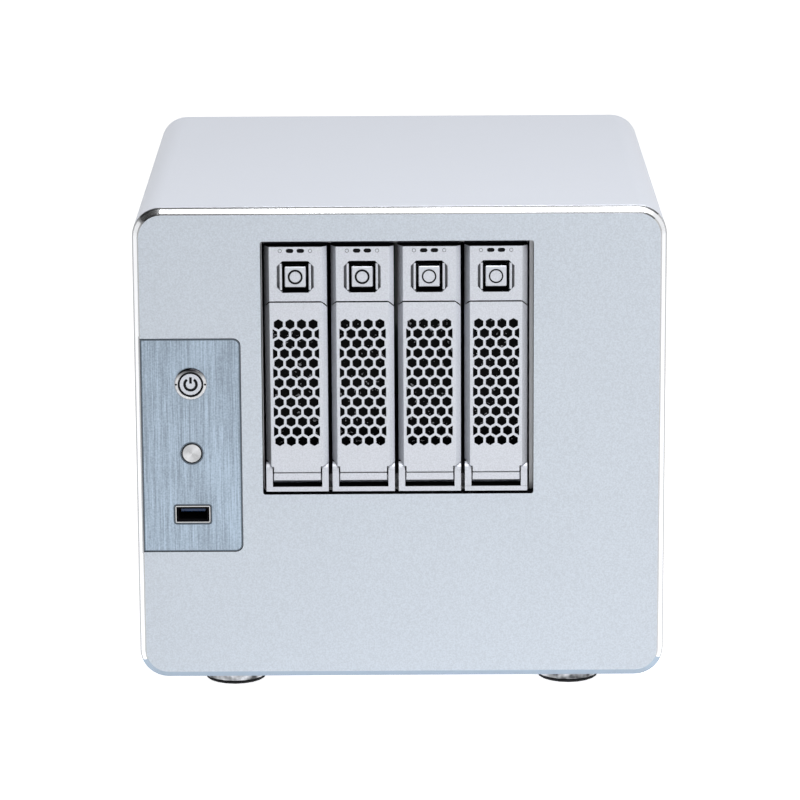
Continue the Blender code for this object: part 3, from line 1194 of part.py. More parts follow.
def rear_fan(frame_finish, rotor_finish):
    """Exhaust fan behind the outlet in the rear panel."""
    start = REAR_PANEL_FRONT - SEAM - REAR_FAN_DEPTH
    centre = (ROW_CENTRE, BAY_MIDDLE)
    frame = fan_frame("rear_fan_frame", REAR_FAN_SIZE, REAR_FAN_DEPTH, REAR_FAN_HUB, centre, start)
    part("rear_fan_frame", frame, frame_finish)
    room = REAR_FAN_DEPTH - FAN_STRUT_THICKNESS - SEAM
    mesh = fan_rotor_mesh("rear_fan_rotor", REAR_FAN_SIZE, room, REAR_FAN_HUB, REAR_FAN_BLADES)
    mesh.transform(AXES["Y"])
    part("rear_fan_rotor", mesh, rotor_finish, (ROW_CENTRE, start, BAY_MIDDLE))


# --------------------------------------------------------------------------------------------------
# Mainboard
# --------------------------------------------------------------------------------------------------


def mainboard(board_finish, cooler_finish, memory_finish):
    """Mainboard on its standoffs, with the processor's fanless heatsink and the memory module."""
    half = BOARD_SIZE / 2
    board = box("motherboard_raw", (-half, BOARD_Y - half, BOARD_BOTTOM), (half, BOARD_Y + half, BOARD_TOP))
    root = BOARD_TOP - OVERLAP
    chip = PROCESSOR_SIZE / 2
    processor_top = BOARD_TOP + PROCESSOR_HEIGHT
    processor = box("processor", (-chip, BOARD_Y - chip, root), (chip, BOARD_Y + chip, processor_top))
    wide = MEMORY_SOCKET_WIDTH / 2
    long = MEMORY_LENGTH / 2 + MEMORY_SOCKET_END
    socket = box("memory_socket", (MEMORY_OFFSET - wide, BOARD_Y - long, root),
                 (MEMORY_OFFSET + wide, BOARD_Y + long, BOARD_TOP + MEMORY_SOCKET_HEIGHT))
    start = BOARD_Y - half + HEADER_SETBACK
    left = -half + POWER_HEADER_START
    power = box("board_power_header", (left, start, root),
                (left + POWER_HEADER_LENGTH, start + HEADER_DEPTH, BOARD_TOP + POWER_HEADER_HEIGHT))
    left = -half + DATA_HEADER_START
    data = box("board_data_headers", (left, start, root),
               (left + DATA_HEADER_LENGTH, start + HEADER_DEPTH, BOARD_TOP + DATA_HEADER_HEIGHT))
    join(board, processor, socket, power, data)
    seat = BOARD_TOP + MEMORY_SOCKET_HEIGHT - MEMORY_SEAT
    thin = MEMORY_THICKNESS / 2
    slit = box("memory_slit", (MEMORY_OFFSET - thin - SEAM, BOARD_Y - MEMORY_LENGTH / 2 - SEAM, seat - SEAM),
               (MEMORY_OFFSET + thin + SEAM, BOARD_Y + MEMORY_LENGTH / 2 + SEAM,
                BOARD_TOP + MEMORY_SOCKET_HEIGHT + OVERSHOOT))
    part("motherboard", cut(board, slit), board_finish)

    module = box("memory_raw", (MEMORY_OFFSET - thin, BOARD_Y - MEMORY_LENGTH / 2, seat),
                 (MEMORY_OFFSET + thin, BOARD_Y + MEMORY_LENGTH / 2, seat + MEMORY_HEIGHT))
    pitch = MEMORY_LENGTH / MEMORY_CHIP_COUNT
    reach = pitch * MEMORY_CHIP_FILL / 2
    chips = []
    for number in range(MEMORY_CHIP_COUNT):
        middle = BOARD_Y + (number - (MEMORY_CHIP_COUNT - 1) / 2) * pitch
        chips.append(box(f"memory_chip_{number}",
                         (MEMORY_OFFSET + thin - OVERLAP, middle - reach, seat + MEMORY_CHIP_LOW),
                         (MEMORY_OFFSET + thin + MEMORY_CHIP_THICKNESS, middle + reach,
                          seat + MEMORY_CHIP_HIGH)))
    part("memory_module", join(module, *chips), memory_finish)

    base_low = processor_top + SEAM
    base = COOLER_BASE_SIZE / 2
    fin_base = base_low + COOLER_BASE_THICKNESS
    sink = box("processor_heatsink_raw", (-base, BOARD_Y - base, base_low), (base, BOARD_Y + base, fin_base))
    step = (COOLER_BASE_SIZE - COOLER_FIN_THICKNESS) / (COOLER_FIN_COUNT - 1)
    fins = []
    for number in range(COOLER_FIN_COUNT):
        left = -base + number * step
        fins.append(box(f"cooler_fin_{number}",
                        (left, BOARD_Y - base, fin_base - OVERLAP),
                        (left + COOLER_FIN_THICKNESS, BOARD_Y + base, fin_base + COOLER_FIN_HEIGHT)))
    part("processor_heatsink", join(sink, *fins), cooler_finish)


def port_places():
    """Name, centre X, width and height of every port on the mainboard's rear edge."""
    first = -PORT_ROW_START
    return (("lan_port_1", first, LAN_WIDTH, LAN_HEIGHT),
            ("lan_port_2", first + LAN_SPACING, LAN_WIDTH, LAN_HEIGHT),
            ("usb_port_stack", first + 2 * LAN_SPACING, STACK_WIDTH, STACK_HEIGHT),
            ("video_port", first + 3 * LAN_SPACING, VIDEO_WIDTH, VIDEO_HEIGHT))


def ports(metal, shield_finish):
    """Port blocks on the mainboard, and the shield that they pass through."""
    floor = BOARD_TOP + SEAM
    half = IO_SHIELD_WIDTH / 2
    back = REAR_PANEL_FRONT + REAR_PANEL_THICKNESS
    openings = [rectangle((middle - width / 2 - SEAM, floor - SEAM),
                          (middle + width / 2 + SEAM, floor + height + SEAM))
                for _, middle, width, height in port_places()]
    plate = rectangle((-half, SHIELD_BOTTOM), (half, SHIELD_BOTTOM + IO_SHIELD_HEIGHT))
    shield = prism("io_shield_raw", [plate, *openings], "XZ", back - IO_SHIELD_THICKNESS, back)
    part("io_shield", shield, shield_finish)

    for name, middle, width, height in port_places():
        length = {"lan": LAN_LENGTH, "usb": STACK_LENGTH, "vid": VIDEO_LENGTH}[name[:3]]
        body = box(f"{name}_raw", (middle - width / 2, PORT_BACK - length, floor),
                   (middle + width / 2, PORT_BACK, floor + height))
        part(name, PORT_SHAPES[name[:3]](body, name, middle, floor), metal)


def lan_shape(body, name, middle, floor):
    """Network socket: a square opening with a step for the plug's latch."""
    wide = LAN_SOCKET_WIDTH / 2
    low = floor + (LAN_HEIGHT - LAN_SOCKET_HEIGHT) / 2 + LAN_LATCH_STEP / 2
    past = PORT_BACK + OVERSHOOT
    mouth = box(f"{name}_mouth", (middle - wide, PORT_BACK - LAN_SOCKET_DEPTH, low),
                (middle + wide, past, low + LAN_SOCKET_HEIGHT))
    latch = box(f"{name}_latch", (middle - wide / 2, PORT_BACK - LAN_LATCH_DEPTH, low - LAN_LATCH_STEP),
                (middle + wide / 2, past, low + LAN_LATCH_STEP))
    return cut(body, mouth, latch)


def stack_shape(body, name, middle, floor):
    """Two stacked USB openings, each with its tongue."""
    wide = USB_OPENING_WIDTH / 2
    gap = (STACK_HEIGHT - 2 * USB_OPENING_HEIGHT) / 3
    for row in range(2):
        low = floor + gap + row * (USB_OPENING_HEIGHT + gap)
        high = low + USB_OPENING_HEIGHT
        under = high - USB_TONGUE_DROP - USB_TONGUE_THICKNESS
        edge = USB_TONGUE_WIDTH / 2
        deep = PORT_BACK - STACK_SOCKET_DEPTH
        mouth = box(f"{name}_mouth_{row}", (middle - wide, deep, low),
                    (middle + wide, PORT_BACK + OVERSHOOT, high))
        tongue = box(f"{name}_tongue_{row}", (middle - edge, deep - OVERLAP, under),
                     (middle + edge, PORT_BACK - PORT_TONGUE_SETBACK, under + USB_TONGUE_THICKNESS))
        cut(body, mouth)
        join(body, tongue)
    return body


def video_shape(body, name, middle, floor):
    """Video socket with its lower corners cut off and a tongue."""
    wide = VIDEO_SOCKET_WIDTH / 2
    low = floor + (VIDEO_HEIGHT - VIDEO_SOCKET_HEIGHT) / 2
    high = low + VIDEO_SOCKET_HEIGHT
    corner = VIDEO_SOCKET_CORNER
    deep = PORT_BACK - VIDEO_SOCKET_DEPTH
    outline = [(middle - wide + corner, low), (middle + wide - corner, low), (middle + wide, low + corner),
               (middle + wide, high), (middle - wide, high), (middle - wide, low + corner)]
    mouth = prism(f"{name}_mouth", [outline], "XZ", deep, PORT_BACK + OVERSHOOT)
    level = (low + high) / 2
    edge, thin = VIDEO_TONGUE_WIDTH / 2, VIDEO_TONGUE_THICKNESS / 2
    tongue = box(f"{name}_tongue", (middle - edge, deep - OVERLAP, level - thin),
                 (middle + edge, PORT_BACK - PORT_TONGUE_SETBACK, level + thin))
    return join(cut(body, mouth), tongue)


PORT_SHAPES = {"lan": lan_shape, "usb": stack_shape, "vid": video_shape}


# --------------------------------------------------------------------------------------------------
# Power supply
# --------------------------------------------------------------------------------------------------


def power_supply(case_finish, inlet_finish, rocker_finish, rotor_finish):
    """Slim supply beside the cage: case, mains inlet, rocker switch and its fan's rotor."""
    half = SUPPLY_WIDTH / 2
    case = bevel(box("power_supply_raw", (SUPPLY_X - half, SUPPLY_BACK - SUPPLY_LENGTH, SUPPLY_BOTTOM),
                     (SUPPLY_X + half, SUPPLY_BACK, SUPPLY_BOTTOM + SUPPLY_HEIGHT)), SUPPLY_EDGE)
    fan_z = SUPPLY_BOTTOM + SUPPLY_FAN_HEIGHT
    inlet_z = SUPPLY_BOTTOM + INLET_HEIGHT
    rocker_z = SUPPLY_BOTTOM + ROCKER_HEIGHT
    past = SUPPLY_BACK + OVERSHOOT
    tunnel = cylinder("supply_fan_tunnel", SUPPLY_FAN_SIZE / 2 - FAN_RIM + SEAM, "Y",
                      SUPPLY_BACK - SUPPLY_FAN_DEPTH, past, (SUPPLY_X, fan_z), segments=24)
    socket = prism("supply_inlet_hole",
                   [rectangle((SUPPLY_X - INLET_WIDTH / 2 - SEAM, inlet_z - INLET_TALL / 2 - SEAM),
                              (SUPPLY_X + INLET_WIDTH / 2 + SEAM, inlet_z + INLET_TALL / 2 + SEAM))],
                   "XZ", SUPPLY_BACK - INLET_LENGTH - SEAM, past)
    gap = ROCKER_CLEARANCE
    switch = box("supply_rocker_hole",
                 (SUPPLY_X - ROCKER_LENGTH / 2 - gap, SUPPLY_BACK - ROCKER_DEPTH - 3 * gap,
                  rocker_z - ROCKER_WIDTH / 2 - SEAM),
                 (SUPPLY_X + ROCKER_LENGTH / 2 + gap, past, rocker_z + ROCKER_WIDTH / 2 + SEAM))
    part("power_supply_case", cut(case, tunnel, socket, switch), case_finish)

    front = SUPPLY_BACK - INLET_LENGTH
    body = box("inlet_raw", (SUPPLY_X - INLET_WIDTH / 2, front, inlet_z - INLET_TALL / 2),
               (SUPPLY_X + INLET_WIDTH / 2, SUPPLY_BACK, inlet_z + INLET_TALL / 2))
    wide, tall = INLET_WIDTH / 2 - INLET_WALL, INLET_TALL / 2 - INLET_WALL
    deep = SUPPLY_BACK - INLET_SOCKET_DEPTH
    mouth = prism("inlet_mouth", [[(SUPPLY_X - wide, inlet_z - tall), (SUPPLY_X + wide, inlet_z - tall),
                                   (SUPPLY_X + wide, inlet_z + tall - INLET_CORNER),
                                   (SUPPLY_X + wide - INLET_CORNER, inlet_z + tall),
                                   (SUPPLY_X - wide + INLET_CORNER, inlet_z + tall),
                                   (SUPPLY_X - wide, inlet_z + tall - INLET_CORNER)]], "XZ", deep, past)
    contacts = []
    for number in (-1, 0, 1):
        middle = SUPPLY_X + number * BLADE_CONTACT_SPACING
        level = inlet_z + (EARTH_CONTACT_RAISE if number == 0 else -LIVE_CONTACT_DROP)
        contacts.append(box(f"inlet_contact_{number}", (middle - BLADE_CONTACT_WIDTH / 2, deep - OVERLAP,
                                                        level - BLADE_CONTACT_HEIGHT / 2),
                            (middle + BLADE_CONTACT_WIDTH / 2, deep + BLADE_CONTACT_LENGTH,
                             level + BLADE_CONTACT_HEIGHT / 2)))
    part("power_supply_inlet", join(cut(body, mouth), *contacts), inlet_finish)

    rocker_profile = [(-ROCKER_LENGTH / 2, 0), (0, -ROCKER_LENGTH / 2 * sin(ROCKER_TILT)),
                      (ROCKER_LENGTH / 2, 0), (ROCKER_LENGTH / 2, -ROCKER_EDGE_DEPTH), (0, -ROCKER_DEPTH),
                      (-ROCKER_LENGTH / 2, -ROCKER_EDGE_DEPTH)]
    loop = [(across, along + ROCKER_AXIS_DEPTH) for across, along in rocker_profile]
    rocker = prism("rocker_raw", [loop], "XY", -ROCKER_WIDTH / 2, ROCKER_WIDTH / 2)
    mesh = finished_mesh(rocker)
    mesh.transform(Matrix.Rotation(ROCKER_TILT, 4, "Z"))
    part("power_supply_switch", mesh, rocker_finish, (SUPPLY_X, SUPPLY_BACK - ROCKER_AXIS_DEPTH, rocker_z))

    room = SUPPLY_FAN_DEPTH - 2 * SEAM
    rotor = fan_rotor_mesh("supply_rotor", SUPPLY_FAN_SIZE, room, SUPPLY_FAN_HUB, SUPPLY_FAN_BLADES)
    rotor.transform(AXES["Y"])
    part("power_supply_fan_rotor", rotor, rotor_finish,
         (SUPPLY_X, SUPPLY_BACK - SUPPLY_FAN_DEPTH + SEAM, fan_z))


# --------------------------------------------------------------------------------------------------
# Assembly
# --------------------------------------------------------------------------------------------------


def main():
    """Build every piece."""
    clear_scene()
    sandblasted = material("sandblasted_aluminium", (0.62, 0.65, 0.70), 0.5, 0.8)
    shell = material("anodised_aluminium", (0.72, 0.74, 0.78), 0.35, 0.8)
    brushed = material("brushed_aluminium", (0.38, 0.45, 0.53), 0.4, 0.9)
    chrome = material("bright_metal", (0.80, 0.81, 0.83), 0.15, 1.0)
    steel = material("zinc_plated_steel", (0.55, 0.56, 0.58), 0.45, 0.9)
    tray = material("tray_silver", (0.68, 0.69, 0.72), 0.5, 0.6)
    tray_lever = material("tray_lever_silver", (0.70, 0.71, 0.74), 0.5, 0.6)
    release = material("release_button_silver", (0.66, 0.67, 0.70), 0.45, 0.6)
    drive = material("drive_casting", (0.16, 0.16, 0.17), 0.5, 0.7)
    board = material("circuit_board", (0.02, 0.10, 0.05), 0.5)
    black = material("black_plastic", (0.02, 0.02, 0.02), 0.5)
    blue = material("blue_plastic", (0.02, 0.10, 0.55), 0.4)
    rubber = material("black_rubber", (0.015, 0.015, 0.015), 0.8)

    outer_shell(shell)
    front_panel(sandblasted)
    rear_panel(steel)
    feet(chrome, rubber)
    control_plate(brushed)
    power_switch(chrome, sandblasted)
    reset_button(release)
    front_port(chrome, blue)
    front_io_board(board)
    cage(steel)
    trays(tray, tray_lever, release, drive)
    backplane(board, black)
    rear_fan(black, black)
    mainboard(board, shell, board)
    ports(chrome, steel)
    power_supply(steel, black, black, black)


main()
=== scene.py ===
"""Looks of a four-bay desktop network attached storage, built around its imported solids.

Units are metres.  +X is to the right of the front, +Y points to the rear and +Z up.
"""

import json
from itertools import product
from math import cos, pi, radians, sin

import bmesh
import bpy
from bmesh.types import BMEdge, BMVert
from mathutils import Matrix, Vector

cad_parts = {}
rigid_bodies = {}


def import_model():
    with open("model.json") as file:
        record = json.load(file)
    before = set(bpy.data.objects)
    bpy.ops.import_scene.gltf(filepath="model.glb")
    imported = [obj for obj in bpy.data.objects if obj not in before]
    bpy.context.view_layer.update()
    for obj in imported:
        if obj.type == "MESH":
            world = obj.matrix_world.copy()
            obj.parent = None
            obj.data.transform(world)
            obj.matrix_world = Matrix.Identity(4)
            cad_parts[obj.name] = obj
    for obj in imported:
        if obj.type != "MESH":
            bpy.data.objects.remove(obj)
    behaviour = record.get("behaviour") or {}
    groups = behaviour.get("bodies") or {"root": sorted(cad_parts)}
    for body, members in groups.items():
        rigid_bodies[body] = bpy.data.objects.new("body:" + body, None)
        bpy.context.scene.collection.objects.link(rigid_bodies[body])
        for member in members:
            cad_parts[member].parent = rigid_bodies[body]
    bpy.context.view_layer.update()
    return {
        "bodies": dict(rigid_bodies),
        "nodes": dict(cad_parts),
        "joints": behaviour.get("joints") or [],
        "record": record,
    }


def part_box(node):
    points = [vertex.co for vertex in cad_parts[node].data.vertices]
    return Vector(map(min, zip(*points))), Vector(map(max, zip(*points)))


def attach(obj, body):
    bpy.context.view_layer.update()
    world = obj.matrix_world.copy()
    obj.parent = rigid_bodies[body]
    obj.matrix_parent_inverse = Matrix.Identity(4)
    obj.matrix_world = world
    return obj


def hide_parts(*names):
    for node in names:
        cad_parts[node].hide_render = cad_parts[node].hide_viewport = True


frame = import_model()

bl_info = {
    "name": "Desktop Storage Cabinet",
    "version": (1, 0, 0),
    "blender": (4, 5, 0),
    "location": "3D View > Sidebar > Storage",
    "description": "Dresses a four-bay storage cabinet with its finishes and fine detail",
    "category": "Object",
}

# ---- Places read from the frame ----

NODES = frame["nodes"]
BODIES = frame["record"]["behaviour"]["bodies"]
BODY_OF = {node: body for body, members in BODIES.items() for node in members}
TRAYS = tuple(sorted(node.rsplit("_", 1)[1] for node in NODES if node.startswith("tray_frame_")))

PANEL_LOW, PANEL_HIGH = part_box("front_panel")
MERGE = 0.00001  # joins the loose triangles of a CAD node
FLAT_ANGLE = radians(0.5)
SHARP_FROM = radians(32)  # sharper edges are rounded
SMOOTH_TO = radians(40)  # flatter edges are shaded smooth
CORNER_RADIUS = 0.0125
CHAMFER_REACH = 0.0031  # polished band inwards from the outline
CHAMFER_ROOT = 0.0009  # strips of painted shade along the chamfer's two edges
CHAMFER_UNDER = -0.3  # the chamfer's underside points down more than this, and takes painted shade
CHAMFER_FLAT = -0.97  # a chamfer's normal lies between these along Y
CHAMFER_STEEP = -0.2
WALL_LEAN = 0.5  # a wall's normal points less than this along Y
FRAME_REACH = 0.0080  # the gaps' painted shade ends at this depth on a tray's frame
LEVER_REACH = 0.0040  # and at this one on its lever and release button
RIB_INSIDE = 0.0052  # beside a release button, measured from its middle
SLOT_INSIDE = 0.0066
SLOT_OUTSIDE = 0.0083
SURROUND_HALF = 0.0072
PLATE_RIM = 0.00055  # rim of painted shade round the control plate and its openings
PORT_RIM = 0.00042  # bright rim of the front port, painted shade inside it
BEVEL_LEAN = -0.3  # a bevel leans more than this to the front, and isn't a wall
GAP_START = 0.0005  # walls of the front's pieces take painted shade from this depth
GAP_FLOOR = 0.0030  # floors take painted shade from this depth

SCREW_FLAT = 0.86  # shares of a screw head's radius
SCREW_SOCKET = 0.48
SCREW_SHOULDER = 0.35  # shares of its height
SCREW_SOCKET_DEPTH = 0.6
SCREW_HEIGHT = 0.0009
PANEL_SCREW_INSET = 0.0051  # from the corners of what they hold
FAN_SCREW_INSET = 0.0050

SHADE_CRESCENT_START = 0.0037  # the switch's ring takes painted shade between these heights over its middle
SHADE_CRESCENT_END = 0.0045
SHADE_CRESCENT_COLOUR = (0.012, 0.012, 0.014, 1.0)
SYMBOL_START = radians(125)  # ends of the power symbol's bow
SYMBOL_END = radians(415)
BAR_HALF = 0.48  # the symbol's bar, as a share of its line width
BAR_FOOT = 0.12  # and as shares of its outer radius
BAR_TOP = 1.02
NOTCH_SIZE = (0.00095, 0.0009)  # spanner notches of the switch's ring, drawn as painted shade
NOTCH_PLACE = 1.19  # share of the cap's radius
CONTACT_HALF = 0.0005  # contacts of the front port
CONTACT_SETBACK = 0.0006
CONTACT_LENGTH = 0.006
LENS_SIZE = (0.0031, 0.0016)  # status lenses, and the rings printed beside them
LENS_LENGTH = 0.0012
LENS_ACROSS = 0.0023  # from the middle of the release button
MARK_ACROSS = 0.0065
MARK_LINE = 0.00016
STATUS_DROP = 0.00215  # below the tray's upper edge
# painted shade in the release buttons' grooves
RELEASE_GROOVE_SHADE_RADIUS = 0.0028

# Photograph's view
CAMERA_PLACE = Vector((0.0013, -1.8437, 0.5520))
CAMERA_TURN = radians(-0.047)
CAMERA_TILT = radians(13.591)
CAMERA_ROLL = radians(-0.315)
CAMERA_LENS = 184.6
CAMERA_SENSOR = 36.0

FLOOR_COLOUR = (0.93, 0.93, 0.93)

# ---- Settings ----


def colour(name, description, default):
    """A colour that a user may change."""
    return bpy.props.FloatVectorProperty(name=name, description=description, subtype="COLOR", size=3,
                                         min=0.0, max=1.0, default=default)


def length(name, description, default):
    """A length that a user may change."""
    return bpy.props.FloatProperty(name=name, description=description, default=default, min=0.0,
                                   unit="LENGTH", precision=5)


def amount(name, description, default):
    """A plain number that a user may change."""
    return bpy.props.FloatProperty(name=name, description=description, default=default, min=0.0)


class StorageColours(bpy.types.PropertyGroup):
    """Colours of the finishes"""

    face: colour("Front panel", "Sandblasted aluminium of the front", (0.58, 0.63, 0.695))
    shell: colour("Sleeve", "Anodised aluminium of the sleeve", (0.635, 0.67, 0.75))
    plate: colour("Control plate", "Brushed aluminium round the controls", (0.315, 0.385, 0.465))
    tray: colour("Tray", "Silver paint of the trays", (0.67, 0.695, 0.755))
    lever: colour("Lever", "Silver paint of the perforated levers", (0.68, 0.705, 0.765))
    bright: colour("Bright metal", "Polished metal", (0.82, 0.83, 0.85))
    steel: colour("Sheet steel", "Zinc plated sheet", (0.50, 0.51, 0.53))
    casting: colour("Drive casting", "Cast metal of the drives", (0.30, 0.305, 0.32))
    board: colour("Circuit board", "Solder mask", (0.015, 0.085, 0.045))
    black: colour("Black plastic", "Moulded plastic", (0.018, 0.018, 0.020))
    blue: colour("Port tongue", "Blue moulded plastic", (0.010, 0.060, 0.20))
    rubber: colour("Rubber", "Foot pads", (0.014, 0.014, 0.015))
    # shared by print and by painted shade in grooves and notches
    ink: colour("Ink", "Dark print and inlays", (0.006, 0.006, 0.008))
    # painted shade for the walls and floors in the front's gaps
    gap: colour("Gap", "Unlit walls between the pieces of the front", (0.005, 0.005, 0.006))
    gold: colour("Contacts", "Gold plated contacts", (0.78, 0.55, 0.20))


class StorageSizes(bpy.types.PropertyGroup):
    """Sizes of the fine detail"""

    panel_edge: length("Panel edge", "Rounding of the panel's edges", 0.00022)
    tray_edge: length("Tray edge", "Rounding of the trays' edges", 0.00022)
    grille_edge: length("Grille edge", "Rounding of the lever and its holes", 0.00016)
    foot_edge: length("Foot edge", "Rounding of the feet", 0.00035)
    bezel_edge: length("Bezel edge", "Rounding of the power switch's ring", 0.00048)
    rim_line: length("Rim line", "Dark line round the power switch's cap", 0.00062)
    reset_line: length("Reset line", "Dark line round the reset button", 0.00022)
    lens_depth: length("Lens depth", "Status lenses behind the tray's face", 0.0004)
    mark_radius: length("Mark radius", "Rings printed beside the status lenses", 0.00075)
    print_height: length("Print height", "Thickness of printed marks", 0.00003)
    # painted shade in the release buttons' grooves
    ring_height: length("Ring height", "Thickness of the release buttons' rings", 0.00012)
    symbol_radius: length("Symbol radius", "Outer radius of the power symbol", 0.00315)
    symbol_line: length("Symbol line", "Line width of the power symbol", 0.00115)
    screw_radius: length("Screw radius", "Radius of the screw heads at the rear", 0.0028)
    guard_wire: length("Guard wire", "Radius of the fan guard's wire", 0.0006)


class StorageLight(bpy.types.PropertyGroup):
    """Strength of the stage's light"""

    world: amount("World", "Light from all round", 0.12)
    top: amount("Top lamp", "Power of the softbox above, in watts", 2.4)
    front: amount("Front lamp", "Power of the softbox above the front, in watts", 5.6)
    side: amount("Side lamp", "Power of the softbox at the right, in watts", 3.6)
    floor: amount("Floor", "Glow of the floor where it is seen", 0.88)


# ---- Finishes ----


class Signal:
    """A number that varies over a surface, with Python's operators as Math nodes."""

    def __init__(self, graph, socket):
        self.graph = graph
        self.socket = socket

    def join(self, operation, first, second):
        return self.graph.node("ShaderNodeMath", {"operation": operation}, {0: first, 1: second})

    def __add__(self, other):
        return self.join("ADD", self, other)

    def __radd__(self, other):
        return self.join("ADD", other, self)

    def __sub__(self, other):
        return self.join("SUBTRACT", self, other)

    def __rsub__(self, other):
        return self.join("SUBTRACT", other, self)

    def __mul__(self, other):
        return self.join("MULTIPLY", self, other)

    def __rmul__(self, other):
        return self.join("MULTIPLY", other, self)


class Graph:
    """A tree of shader nodes."""

    def __init__(self, tree):
        self.tree = tree

    def feed(self, socket, value):
        """Link a signal to a socket, or set a plain value there."""
        if isinstance(value, Signal):
            self.tree.links.new(value.socket, socket)
        else:
            socket.default_value = value

    def node(self, kind, settings=None, inputs=None, output=0):
        """Add a node: its settings first, then its inputs.  Ramp stops are (place, grey) pairs."""
        made = self.tree.nodes.new(kind)
        for name, value in (settings or {}).items():
            if name == "stops":
                self.stops(made.color_ramp, value)
            else:
                setattr(made, name, value)
        for key, value in (inputs or {}).items():
            self.feed(made.inputs[key], value)
        return Signal(self, made.outputs[output])

    def stops(self, ramp, pairs):
        """Give a colour ramp its stops."""
        for element, (place, grey) in zip(ramp.elements, pairs):
            element.position = place
            element.color = (grey, grey, grey, 1.0)

    def seen(self):
        """One where the camera looks at a surface, straight, in metal or through glass."""
        camera, gloss, glass = [self.node("ShaderNodeLightPath", output=name)
                                for name in ("Is Camera Ray", "Is Glossy Ray", "Is Transmission Ray")]
        return camera + gloss + glass


class Finish(Graph):
    """A procedural material on the piece's own Object coordinates."""

    def __init__(self, name, roughness, metallic=0.0):
        self.material = bpy.data.materials.new(name)
        self.material.use_nodes = True
        super().__init__(self.material.node_tree)
        self.surface = self.tree.nodes["Principled BSDF"]
        self.set("Roughness", roughness)
        self.set("Metallic", metallic)

    def set(self, name, value):
        """Feed one socket of the surface."""
        self.feed(self.surface.inputs[name], value)

    def places(self, stretch=(1.0, 1.0, 1.0)):
        """The piece's own coordinates, stretched."""
        spot = self.node("ShaderNodeTexCoord", output=3)
        return self.node("ShaderNodeMapping", inputs={"Vector": spot, "Scale": stretch})

    def noise(self, scale, detail=2.0, stretch=(1.0, 1.0, 1.0)):
        """Noise with so many features to the metre."""
        return self.node("ShaderNodeTexNoise",
                         inputs={"Vector": self.places(stretch), "Scale": scale, "Detail": detail})

    def contrast(self, mask, low, high):
        """The part of a mask between two levels, spread over the whole range."""
        return self.node("ShaderNodeValToRGB", {"stops": ((low, 0.0), (high, 1.0))}, {"Fac": mask})

    def between(self, mask, dark, light):
        """A colour that runs from dark to light with the mask."""
        return self.node("ShaderNodeMix", {"data_type": "RGBA"},
                         {0: mask, 6: (*dark, 1.0), 7: (*light, 1.0)}, output=2)

    def tint(self, base, mask, dark, light):
        """Colour the surface between two shares of a base, along the mask."""
        self.set("Base Color", self.between(mask, shade(base, dark), shade(base, light)))

    def relief(self, height, strength, distance):
        """Bump the surface with a height signal."""
        self.set("Normal", self.node("ShaderNodeBump", inputs={
            "Strength": strength, "Distance": distance, "Height": height}))


def shade(base, factor):
    """A colour made darker or lighter."""
    return tuple(min(1.0, channel * factor) for channel in base)


def grained(name, base, roughness, metallic, grain, relief, spread=0.10):
    """Fine sand texture: grain in the height and the colour, with a faint slow variation."""
    finish = Finish(name, roughness, metallic)
    fine = finish.noise(grain, 3.0)
    slow = finish.noise(18.0, 2.0)
    mask = finish.contrast(fine, 0.34, 0.66) * 0.8 + slow * 0.2
    finish.tint(base, mask, 1 - spread, 1 + spread)
    finish.set("Roughness", fine * 0.16 + (roughness - 0.08))
    finish.relief(fine, relief, 0.0001)
    return finish.material


def brushed(name, base, roughness, along):
    """Fine parallel scratches that run along one axis, in three widths."""
    finish = Finish(name, roughness, 0.75)
    fine, broad, slow = [finish.noise(scale, 1.0, tuple(share if axis == along else 1.0 for axis in "XYZ"))
                         for scale, share in ((2400.0, 0.030), (1100.0, 0.012), (60.0, 0.35))]
    grit = finish.noise(1300.0, 2.0)
    mask = fine * 0.30 + broad * 0.28 + slow * 0.17 + grit * 0.25
    streaks = finish.contrast(mask, 0.40, 0.60)
    finish.tint(base, streaks, 0.68, 1.30)
    finish.set("Roughness", mask * 0.35 + (roughness - 0.17))
    finish.relief(fine, 0.25, 0.0001)
    return finish.material


def polished(name, base, roughness=0.14):
    """Bright turned or polished metal with faint wipe marks."""
    finish = Finish(name, roughness, 1.0)
    marks = finish.noise(160.0, 3.0)
    finish.tint(base, marks, 0.95, 1.03)
    finish.set("Roughness", marks * 0.12 + (roughness - 0.05))
    return finish.material


def chrome_with_painted_reflections(name, base):
    """Chromed metal with painted reflections: the soft light and dark patches of a room."""
    finish = Finish(name, 0.16, 1.0)
    painted_reflection_patches = finish.contrast(finish.noise(190.0, 2.0), 0.36, 0.64)
    finish.tint(base, painted_reflection_patches, 0.35, 2.2)
    finish.set("Roughness", painted_reflection_patches * 0.08 + 0.12)
    return finish.material


def painted_shade_with_glints(name, base):
    """Painted shade: a dark casting, with a few painted glints as bright spots."""
    finish = Finish(name, 0.5, 0.3)
    finish.set("Specular IOR Level", 0.1)
    painted_glints = finish.contrast(finish.noise(520.0, 2.0), 0.65, 0.70)
    finish.tint(base, painted_glints, 0.2, 13.0)
    finish.relief(painted_glints, 0.2, 0.0001)
    return finish.material


def plated(name, base):
    """Zinc plated sheet with its crystal pattern."""
    finish = Finish(name, 0.42, 0.85)
    cells = finish.node("ShaderNodeTexVoronoi", inputs={"Vector": finish.places(), "Scale": 130.0})
    fine = finish.noise(900.0, 3.0)
    mask = cells * 0.5 + fine * 0.5
    finish.tint(base, mask, 0.84, 1.14)
    finish.set("Roughness", mask * 0.22 + 0.30)
    finish.relief(fine, 0.08, 0.0001)
    return finish.material


